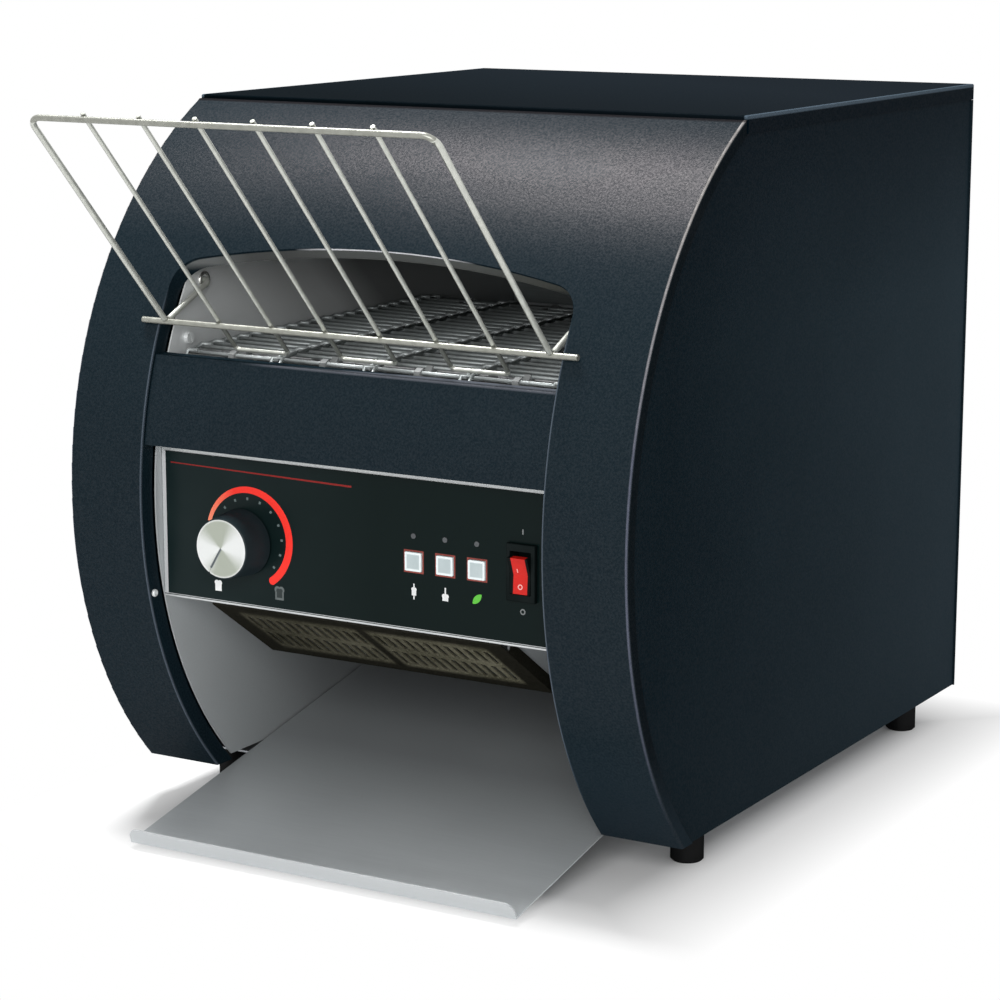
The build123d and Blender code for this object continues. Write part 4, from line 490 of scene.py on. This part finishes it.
def dull_black(name, dark, light, share):
    """Black moulding with a small, even gloss."""
    plastic = Finish(name)
    drift = plastic.ramp(plastic.noise(50.0), 0.35, 0.65)
    grains = plastic.noise(MOULD_GRAIN)
    return plastic.glazed(
        share,
        (0.9, 0.9, 0.9),
        0.32,
        Base_Color=plastic.blend(drift, dark, light),
        Roughness=0.6,
        Normal=plastic.bump(grains, 0.00003, 0.5),
    )


def middle_of(node):
    """A node's middle from the front: across and up, in millimetres."""
    low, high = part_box(node)
    return (low.x + high.x) / 2 / MM, (low.z + high.z) / 2 / MM


class Print(Finish):
    """A finish with printed marks. Places are in millimetres across and up, from the middle of a node."""

    def __init__(self, name, node):
        super().__init__(name)
        self.middle = middle_of(node)
        self.across = self.mm("X") - self.middle[0]
        self.up = self.mm("Z") - self.middle[1]

    def spot(self, node):
        """Another node's middle."""
        across, up = middle_of(node)
        return across - self.middle[0], up - self.middle[1]

    def away(self, x, z):
        """Distance from a point."""
        return self.maths("SQRT", (self.across - x) * (self.across - x) + (self.up - z) * (self.up - z))

    def disc(self, x, z, radius):
        return self.away(x, z) < radius

    def ring(self, x, z, radius, line):
        return abs(self.away(x, z) - radius) < line / 2

    def bar(self, x, z, width, height):
        return (abs(self.across - x) < width / 2) & (abs(self.up - z) < height / 2)

    def frame(self, x, z, size, line):
        """A square outline."""
        reach = abs(self.across - x) | abs(self.up - z)
        return abs(reach - size / 2) < line / 2

    def slice(self, x, z, width, height):
        """A slice of bread: a square with two round shoulders."""
        shoulder = width * 0.3
        top = z + height / 2 - shoulder
        left = self.disc(x - width / 2 + shoulder, top, shoulder)
        right = self.disc(x + width / 2 - shoulder, top, shoulder)
        body = self.bar(x, z - shoulder / 2, width * 0.86, height - shoulder)
        return left | right | body

    def leaf(self, x, z, length):
        """A leaf: two discs' overlap, leaning to the right."""
        return self.disc(x - length * 0.28, z + length * 0.28, length * 0.62) & self.disc(
            x + length * 0.28, z - length * 0.28, length * 0.62
        )


def panel_print(name):
    """Black satin film with a speed scale round the knob, and plain marks at the buttons and the switch."""
    film = Print(name, "speed_knob")
    angle = film.maths("ARCTAN2", film.up - SCALE_Z, film.across - SCALE_X) * (180 / pi)
    turned = angle + (angle < -86.0) * 360.0
    along = (SCALE_START - turned) / (SCALE_START - SCALE_END)
    reach = film.away(SCALE_X, SCALE_Z)
    half_line = film.ramp(along, 0.0, 0.55, 1.2, 2.3)
    scale = (abs(reach - SCALE_RADIUS) < half_line) & (along > 0.0) & (along < 1.0)
    end = radians(SCALE_END)
    scale = scale | film.disc(SCALE_X + SCALE_RADIUS * cos(end), SCALE_Z + SCALE_RADIUS * sin(end), 2.3)
    step = film.maths("FLOORED_MODULO", turned + TICK_SHIFT, TICK_STEP) - TICK_STEP / 2
    ticks = (abs(step) < 1.7) & (abs(reach - TICK_RADIUS) < 0.8) & (along > 0.1) & (along < 0.97)
    light_toast = film.slice(*LIGHT_TOAST, 5.2, 6.4)
    dark_toast = film.slice(*DARK_TOAST, 6.8, 8.0)
    stripe_line = film.ramp(film.across, -51.0, 74.0, 0.32, 0.55)
    stripe = abs(film.up - STRIPE_Z + film.across * STRIPE_FALL) < stripe_line
    stripe = stripe & film.bar(STRIPE_X, STRIPE_Z, 125.0, 6.0)
    drift = film.ramp(film.noise(30.0), 0.35, 0.65)
    tone = film.blend(drift, (0.0055, 0.0120, 0.0125), (0.0075, 0.0145, 0.0150))
    tone = film.blend(film.ramp(film.across, -40.0, 90.0), tone, (0.0014, 0.0058, 0.0055))
    tone = film.blend(film.across < FILM_EDGE_X, tone, (0.42, 0.43, 0.44))
    scale_red = film.blend(film.ramp(along, 0.0, 0.25), (0.85, 0.26, 0.15), (0.78, 0.035, 0.025))
    tone = film.blend(scale, tone, scale_red)
    tone = film.blend(ticks, tone, (0.110, 0.140, 0.140))
    tone = film.blend(stripe, tone, (0.20, 0.016, 0.014))
    tone = film.blend(light_toast, tone, (0.70, 0.71, 0.71))
    tone = film.blend(dark_toast, tone, (0.10, 0.115, 0.115))
    tone = film.blend(film.slice(*DARK_TOAST, 4.4, 5.4), tone, (0.030, 0.038, 0.038))
    spots = [film.spot(button) for button in BUTTONS]
    for x, z in spots:
        tone = film.blend(film.frame(x, z, 12.0, 0.9), tone, (0.22, 0.050, 0.040))
    (left_x, left_z), (middle_x, middle_z), (right_x, right_z) = spots
    left_sign = film.slice(left_x, left_z - 17.0, 3.4, 4.6) | film.bar(left_x, left_z - 17.0, 0.8, 9.0)
    middle_sign = film.slice(middle_x, middle_z - 18.0, 4.4, 4.0)
    middle_sign = middle_sign | film.bar(middle_x, middle_z - 14.5, 0.9, 4.0)
    tone = film.blend(left_sign | middle_sign, tone, (0.60, 0.61, 0.61))
    tone = film.blend(film.leaf(right_x, right_z - 16.4, 8.4), tone, (0.10, 0.42, 0.05))
    x, z = film.spot("power_switch")
    switch_marks = film.bar(x, z + 22.4, 0.8, 2.8) | film.ring(x, z - 22.0, 1.3, 0.7)
    tone = film.blend(switch_marks, tone, (0.16, 0.17, 0.17))
    return film.glazed(0.010, (0.9, 0.9, 0.9), 0.30, Base_Color=tone, Roughness=0.6)


def panel_plate(name):
    """The steel plate behind the film, with a dark line along its lower lip."""
    plate = Finish(name)
    streaks = plate.noise(1.0, 4.0, plate.stretched(SHEET_GRAIN))
    tone = plate.blend(plate.ramp(streaks, 0.35, 0.65), (0.46, 0.48, 0.49), (0.56, 0.58, 0.58))
    line_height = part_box("panel_overlay")[0].z / MM - LIP_LINE_DROP
    lip_line = abs(plate.mm("Z") - line_height) < LIP_LINE / 2
    tone = plate.blend(lip_line, tone, (0.045, 0.050, 0.050))
    return plate.surface(Base_Color=tone, Metallic=0.35, Roughness=plate.ramp(streaks, 0.3, 0.7, 0.35, 0.47))


def turned_face(name):
    """A knob's metal face: fine rings from the lathe, pale fans painted in as their reflection, a painted
    highlight round the edge, and a pointer groove.
    """
    face = Print(name, "knob_cap")
    reach = face.away(0.0, 0.0)
    rings = face.maths("SINE", reach * 14.0)
    angle = face.maths("ARCTAN2", face.up, face.across)
    # Painted reflection: pale fans across the face.
    painted_fans = face.maths("COSINE", (angle - radians(12.0)) * 2.0) * 0.5 + 0.5
    tone = face.blend(face.ramp(painted_fans, 0.22, 0.88), (0.38, 0.41, 0.35), (0.74, 0.76, 0.75))
    # Painted highlight round the face's edge.
    tone = face.blend(face.ramp(reach, 15.6, 16.4) * 0.6, tone, (0.80, 0.81, 0.81))
    lean = radians(POINTER_ANGLE)
    off_line = abs(face.across * sin(lean) - face.up * cos(lean))
    along_line = face.across * cos(lean) + face.up * sin(lean)
    pointer = face.ramp(off_line, 0.5, 0.9, 1.0, 0.0) * (along_line > 0.0) * (reach < 14.0)
    tone = face.blend(pointer, tone, (0.16, 0.18, 0.19))
    return face.surface(
        Base_Color=tone,
        Metallic=0.6,
        Roughness=face.ramp(rings, -1.0, 1.0, 0.26, 0.38),
        Normal=face.bump(rings - pointer * 8.0, 0.00001, 0.5),
    )


def rocker_marks(name):
    """Red lens between black cheeks, with a bar and a ring on its two halves."""
    rocker = Print(name, "power_rocker")
    drift = rocker.ramp(rocker.noise(60.0), 0.35, 0.65)
    tone = rocker.blend(drift, (0.38, 0.0075, 0.0050), (0.50, 0.0130, 0.0085))
    marks = rocker.ring(0.3, -6.4, 1.2, 0.6) | rocker.bar(-1.2, 2.6, 0.6, 2.2)
    tone = rocker.blend(marks, tone, (0.70, 0.36, 0.34))
    cheeks = rocker.ramp(abs(rocker.across - LENS_SHIFT), LENS_HALF - 0.2, LENS_HALF + 0.2)
    tone = rocker.blend(cheeks, tone, (0.004, 0.006, 0.006))
    return rocker.glazed(
        0.022 - cheeks * 0.018,
        (1.0, 0.9, 0.9),
        0.22,
        Base_Color=tone,
        Roughness=0.5,
    )


def button_caps(name):
    """White caps with a paler moulded rim."""
    caps = Print(name, BUTTONS[0])
    rim = 0.0
    for x, z in (caps.spot(button) for button in BUTTONS):
        reach = abs(caps.across - x) | abs(caps.up - z)
        rim = caps.ramp(reach, CAP_HALF - 1.5, CAP_HALF - 1.0) * (reach < CAP_HALF + 2.0) | rim
    drift = caps.ramp(caps.noise(60.0), 0.35, 0.65)
    tone = caps.blend(drift, (0.36, 0.42, 0.43), (0.40, 0.46, 0.47))
    tone = caps.blend(rim, tone, (0.66, 0.72, 0.73))
    return caps.glazed(0.03, (1.0, 1.0, 1.0), 0.30, Base_Color=tone, Roughness=0.5)


def slotted_sheet(name):
    """Black sheet, with a painted olive sheen round the slots, brighter to the right."""
    sheet = Finish(name)
    rise = sheet.mm("Z") - middle_of("intake_grille")[1]
    grains = sheet.noise(700.0, 3.0)
    drift = sheet.noise(30.0, 2.0)
    plain = sheet.blend(sheet.ramp(grains, 0.35, 0.65), (0.007, 0.007, 0.005), (0.014, 0.013, 0.010))
    group_reach = abs(abs(sheet.mm("X")) - SLOT_GROUP_X)
    across = sheet.ramp(group_reach, SLOT_GROUP_HALF, SLOT_GROUP_HALF + 3.0, 1.0, 0.0)
    up = sheet.ramp(abs(rise), 13.5, 16.5, 1.0, 0.0)
    # Painted sheen: brighter to the right.
    right = sheet.ramp(sheet.mm("X"), -80.0, 80.0, 0.36, 1.0)
    patches = sheet.ramp(grains * 0.6 + drift * 0.4, 0.4, 0.6)
    painted_sheen = sheet.blend(patches, (0.044, 0.042, 0.027), (0.120, 0.114, 0.082))
    return sheet.glazed(
        0.008,
        (0.9, 0.9, 0.8),
        0.35,
        Base_Color=sheet.blend(across * up * right, plain, painted_sheen),
        Roughness=sheet.ramp(grains, 0.3, 0.7, 0.60, 0.70),
        Normal=sheet.bump(grains, 0.00005, 0.5),
    )


finishes = {
    "painted_steel": powder_coat("powder coat"),
    "stainless_sheet": sheet_steel("stainless sheet", (0.47, 0.49, 0.50), (0.53, 0.55, 0.56), 0.40, 0.35),
    "galvanised_sheet": sheet_steel("zinc sheet", (0.30, 0.32, 0.34), (0.42, 0.44, 0.46), 0.45, 0.9),
    "black_sheet": moulding("black sheet", (0.020, 0.018, 0.013), (0.032, 0.029, 0.021), 0.42),
    "bright_wire": rack_wire("rack wire"),
    "machined_steel": bright_metal("machined steel", (0.40, 0.40, 0.41), (0.56, 0.56, 0.57), 0.30),
    "bronze": bright_metal("sintered bronze", (0.40, 0.26, 0.12), (0.52, 0.36, 0.18), 0.42),
    "motor_casing": bright_metal("motor casing", (0.44, 0.45, 0.46), (0.56, 0.57, 0.58), 0.40),
    "element_sheath": bright_metal("element sheath", (0.16, 0.13, 0.11), (0.26, 0.22, 0.19), 0.45),
    "ceramic": moulding("ceramic", (0.70, 0.66, 0.58), (0.80, 0.77, 0.70), 0.35),
    "black_plastic": dull_black("black moulding", (0.006, 0.008, 0.009), (0.010, 0.012, 0.013), 0.010),
    "panel_film": panel_print("panel film"),
    "knob_metal": turned_face("turned face"),
    "white_plastic": button_caps("white moulding"),
    "red_plastic": rocker_marks("red moulding"),
    "lamp_lens": moulding("lamp lens", (0.05, 0.055, 0.06), (0.08, 0.085, 0.09), 0.20),
    "circuit_board": moulding("circuit board", (0.010, 0.060, 0.028), (0.016, 0.085, 0.040), 0.35),
    "plated_steel": bright_metal("plated screws", (0.50, 0.50, 0.48), (0.66, 0.66, 0.63), 0.25),
    "thermostat_casing": bright_metal("thermostat casing", (0.48, 0.48, 0.48), (0.60, 0.60, 0.60), 0.30),
    "foot_rubber": dull_black("foot rubber", (0.0030, 0.0032, 0.0036), (0.0060, 0.0062, 0.0066), 0.010),
}
for subpart in frame["record"]["subparts"]:
    shape = nodes[subpart["node"]]
    shape.data.materials.clear()
    shape.data.materials.append(finishes[subpart["material_slot"]])

# The chamber's walls carry painted shade to the rear and painted light near the top.
chamber_steel = sheet_steel(
    "chamber sheet",
    (0.47, 0.495, 0.505),
    (0.52, 0.545, 0.555),
    0.42,
    0.35,
    painted_rear_shade=(-150.0, 0.0, 0.57),
    painted_deep_shade=(0.0, 50.0, 0.62),
    painted_top_light=(230.0, 300.0, 0.68),
)
reflector_steel = sheet_steel("browned reflector", (0.17, 0.19, 0.19), (0.22, 0.24, 0.24), 0.45, 0.35)
own_finishes = {
    "front_wrap": powder_coat("powder coat, front cover", wrap_marks_and_light),
    "fascia_bar": powder_coat("powder coat, fascia bar", bar_painted_highlight),
    # The top cover's coat is darkened to 0.32 of the others: painted shade, against the top lamp.
    "top_cover": powder_coat("powder coat, top cover", cover_painted_light, 0.32),
    "side_panel_left": powder_coat("powder coat, side panels", panel_painted_shade),
    "power_switch": dull_black("switch bezel", (0.0030, 0.0055, 0.0055), (0.0060, 0.0090, 0.0090), 0.005),
    "inner_wall_left": chamber_steel,
    "inner_wall_right": chamber_steel,
    # The belt shield is paler than bare steel: painted light in the gaps between the belt's wires.
    "belt_shield": sheet_steel("belt shield sheet", (0.74, 0.78, 0.78), (0.82, 0.86, 0.86), 0.40, 0.2),
    "wall_fixings": bright_metal("wall fixings", (0.74, 0.77, 0.77), (0.86, 0.88, 0.88), 0.28, 0.35),
    "upper_reflector": reflector_steel,
    "rear_reflector": reflector_steel,
    # The tray carries painted shade to the rear and on its front lip.
    "collector_tray": sheet_steel(
        "tray sheet",
        (0.515, 0.545, 0.560),
        (0.565, 0.595, 0.610),
        0.40,
        0.35,
        painted_rear_shade=(-165.0, -55.0, 0.61),
        lip=(-211.5, -209.5, (0.46, 0.48, 0.49)),
    ),
    "control_panel": panel_plate("panel plate"),
    "intake_grille": slotted_sheet("slotted sheet"),
    "idler_sprockets": moulding("oiled sprocket", (0.20, 0.21, 0.21), (0.27, 0.28, 0.28), 0.45),
    "speed_knob": dull_black("knob moulding", (0.0110, 0.0180, 0.0210), (0.0160, 0.0240, 0.0275), 0.010),
}
own_finishes["side_panel_right"] = own_finishes["side_panel_left"]
for node, finish in own_finishes.items():
    nodes[node].data.materials[0] = finish


# --- conveyor belt: round wires, each hooked over the next -----------------------------------------------
BELT_PITCH = 12.7
BELT_SPANS = 20
BELT_SPACES = 4
BELT_WIRE = 2.6
SPROCKET_TEETH = 8
BELT_RADIUS = BELT_PITCH / (2 * sin(pi / SPROCKET_TEETH))
HOOK_RISE = 1.6
HOOK_ROOT = 1.35
HOOK_REACH = 3.6
EDGE_HOOK = 7.0
belt_half_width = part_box("conveyor_belt")[1].x / MM


def shaft_place(name):
    """A belt shaft's axis: its Y and Z in millimetres."""
    low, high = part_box(name)
    return (low.y + high.y) / 2 / MM, (low.z + high.z) / 2 / MM


def belt_rows():
    """The rows that the belt's wires lie in, once round both shafts."""
    front = shaft_place("idler_shaft")[0]
    rear, height = shaft_place("drive_shaft")
    runs = [(index + 0.5) * BELT_PITCH for index in range(BELT_SPANS)]
    turns = [pi / 2 - (index + 0.5) * 2 * pi / SPROCKET_TEETH for index in range(SPROCKET_TEETH // 2)]
    arcs = [(BELT_RADIUS * cos(turn), BELT_RADIUS * sin(turn)) for turn in turns]
    rows = [(front + run, height + BELT_RADIUS) for run in runs]
    rows += [(rear + out, height + up) for out, up in arcs]
    rows += [(rear - run, height - BELT_RADIUS) for run in runs]
    rows += [(front - out, height - up) for out, up in arcs]
    return [Vector((0.0, y, z)) for y, z in rows]


def belt_wire_path(edge):
    """One wire, across, along and off the belt: straight runs, with open loops over the next wire."""
    path = [(EDGE_HOOK - edge, BELT_PITCH, HOOK_RISE), (-edge, BELT_PITCH, HOOK_RISE), (-edge, 0.0, 0.0)]
    for joint in range(1, BELT_SPACES):
        x = -edge + joint * 2 * edge / BELT_SPACES
        path.append((x - HOOK_ROOT, 0.0, 0.0))
        path += [(x - HOOK_REACH, BELT_PITCH, HOOK_RISE), (x + HOOK_REACH, BELT_PITCH, HOOK_RISE)]
        path.append((x + HOOK_ROOT, 0.0, 0.0))
    return path + [(edge, 0.0, 0.0), (edge, BELT_PITCH, HOOK_RISE), (edge - EDGE_HOOK, BELT_PITCH, HOOK_RISE)]


def belt_wire_steel(name):
    """Drawn wire: painted shade to the rear, painted light at the joints."""
    wire = Finish(name)
    draw_marks = wire.noise(300.0, 3.0)
    # Painted shade: darker to the rear.
    painted_belt_shade = wire.ramp(wire.mm("Y") + wire.noise(40.0) * 60.0, -110.0, 60.0)
    tone = wire.blend(wire.ramp(draw_marks, 0.3, 0.7), (0.30, 0.325, 0.325), (0.39, 0.42, 0.42))
    joint_gap = 2 * belt_half_width / BELT_SPACES
    joint_reach = abs(abs(abs(wire.mm("X")) - joint_gap / 2) - joint_gap / 2)
    # Painted light at the joints, over the loops' shade.
    painted_light = wire.ramp(joint_reach, 4.5, 7.5, 1.0, 0.0)
    tone = wire.blend(painted_belt_shade * 0.85, tone, (0.19, 0.21, 0.21))
    tone = wire.blend(painted_light * 0.6, tone, (0.56, 0.60, 0.60))
    return wire.surface(Base_Color=tone, Metallic=0.4, Roughness=wire.ramp(draw_marks, 0.3, 0.7, 0.36, 0.44))


belt_curve = bpy.data.curves.new("belt_wires", "CURVE")
belt_curve.dimensions = "3D"
belt_curve.bevel_depth = BELT_WIRE / 2 * MM
belt_curve.bevel_resolution = 2
belt_curve.use_fill_caps = True
belt_curve.materials.append(belt_wire_steel("belt wire"))
rows = belt_rows()
for row, next_row in zip(rows, rows[1:] + rows[:1]):
    along = (next_row - row).normalized()
    off = Vector((0.0, -along.z, along.y))
    wire = belt_curve.splines.new("POLY")
    path = belt_wire_path(belt_half_width - BELT_WIRE / 2)
    wire.points.add(len(path) - 1)
    for point, (x, y, z) in zip(wire.points, path):
        place = row + Vector((x, 0.0, 0.0)) + along * y + off * z
        point.co = (*(place * MM), 1.0)
belt_piece = bpy.data.objects.new("belt_wires", belt_curve)
bpy.context.collection.objects.link(belt_piece)
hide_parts("conveyor_belt")
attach(belt_piece, "housing")


# --- eyelets that the rack's hooks sit in ----------------------------------------------------------------
EYELET_RADIUS = 4.2
EYELET_WIRE = 1.2
EYELET_X = 131.0
EYELET_HEIGHT = 323.5


def eyelet(name, x, y, z):
    """A rolled steel ring round a hole in an inner wall."""
    form = bmesh.new()
    bmesh.ops.create_circle(form, segments=10, radius=EYELET_WIRE * MM)
    bmesh.ops.rotate(form, verts=form.verts, cent=(0.0, 0.0, 0.0), matrix=Matrix.Rotation(pi / 2, 3, "X"))
    bmesh.ops.translate(form, verts=form.verts, vec=(0.0, 0.0, EYELET_RADIUS * MM))
    bmesh.ops.spin(
        form,
        geom=form.edges[:] + form.verts[:],
        cent=(0.0, 0.0, 0.0),
        axis=(1.0, 0.0, 0.0),
        dvec=(0.0, 0.0, 0.0),
        angle=2 * pi,
        steps=32,
        use_merge=True,
    )
    bmesh.ops.remove_doubles(form, verts=form.verts, dist=0.00001)
    bmesh.ops.recalc_face_normals(form, faces=form.faces)
    bmesh.ops.translate(form, verts=form.verts, vec=(x, y, z))
    mesh = bpy.data.meshes.new(name)
    form.to_mesh(mesh)
    form.free()
    for face in mesh.polygons:
        face.use_smooth = True
    mesh.materials.append(finishes["plated_steel"])
    piece = bpy.data.objects.new(name, mesh)
    bpy.context.collection.objects.link(piece)
    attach(piece, "housing")


rack_eye_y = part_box("feed_rack")[1].y - RACK_WIRE / 2 * MM
for side, x in (("left", -EYELET_X), ("right", EYELET_X)):
    eyelet(f"rack_eyelet_{side}", x * MM, rack_eye_y, EYELET_HEIGHT * MM)


# --- floor, camera and light -----------------------------------------------------------------------------
# The pale floor turns into the white backdrop between these distances from the case, in metres.
FADE_START = -0.030
FADE_END = 0.055
cad_low, cad_high = (Vector(corner) for corner in cad_box)
case_middle_y = (wrap_low.y + cad_high.y) / 2
case_half_depth = (cad_high.y - wrap_low.y) / 2
floor_mesh = bpy.data.meshes.new("floor")
floor_form = bmesh.new()
bmesh.ops.create_grid(floor_form, x_segments=1, y_segments=1, size=6.0)
floor_form.to_mesh(floor_mesh)
floor_form.free()
floor = bpy.data.objects.new("floor", floor_mesh)
bpy.context.collection.objects.link(floor)
ground = Finish("floor")
beside = abs(ground.axes["X"] - (cad_low.x + cad_high.x) / 2) - (cad_high.x - cad_low.x) / 2
before = abs(ground.axes["Y"] - case_middle_y) - case_half_depth
fade = ground.ramp(beside | before, FADE_START, FADE_END) * ground.mirror_rays()
plain = ground.node("ShaderNodeBsdfDiffuse", {}, {"Color": (0.90, 0.90, 0.90)}, "BSDF")
white = ground.node("ShaderNodeEmission", {}, {"Color": (1.0, 1.0, 1.0), "Strength": 1.0}, "Emission")
backdrop_fade = ground.node("ShaderNodeMixShader", {}, {0: fade, 1: plain, 2: white})
ground.node("ShaderNodeOutputMaterial", {}, {"Surface": backdrop_fade})
floor_mesh.materials.append(ground.material)

CAMERA_PLACE = (0.87452, -1.49202, 0.53850)
CAMERA_LENS = 104.15
CAMERA_DROP = 11.614
CAMERA_TURN = 30.484
camera = bpy.data.objects.new("camera", bpy.data.cameras.new("camera"))
camera.data.lens = CAMERA_LENS
camera.data.sensor_width = 36.0
camera.location = CAMERA_PLACE
camera.rotation_euler = (radians(90.0 - CAMERA_DROP), 0.0, radians(CAMERA_TURN))
bpy.context.collection.objects.link(camera)
bpy.context.scene.camera = camera


def softbox(name, place, target, width, height, power):
    """A soft rectangular lamp aimed at a point."""
    lamp = bpy.data.lights.new(name, "AREA")
    lamp.shape = "RECTANGLE"
    lamp.size = width
    lamp.size_y = height
    lamp.energy = power
    shape = bpy.data.objects.new(name, lamp)
    shape.location = place
    aim = Vector(target) - Vector(place)
    shape.rotation_euler = aim.to_track_quat("-Z", "Y").to_euler()
    bpy.context.collection.objects.link(shape)


softbox("top light", (-0.40, -0.03, 1.55), target=(0.07, -0.08, 0.39), width=0.26, height=0.66, power=28.5)
softbox("front light", (0.9, -2.3, 1.0), target=(0.0, 0.0, 0.2), width=1.5, height=1.3, power=40.0)

SKY_LEVEL = 0.45
world = bpy.data.worlds.new("studio")
bpy.context.scene.world = world
sky = Tree(world)
level = sky.ramp(sky.mirror_rays(), 0.0, 1.0, SKY_LEVEL, 1.0)
backdrop = sky.node("ShaderNodeBackground", {}, {"Color": (1.0, 1.0, 1.0), "Strength": level}, "Background")
sky.node("ShaderNodeOutputWorld", {}, {"Surface": backdrop})

bpy.context.scene.view_settings.view_transform = "Standard"
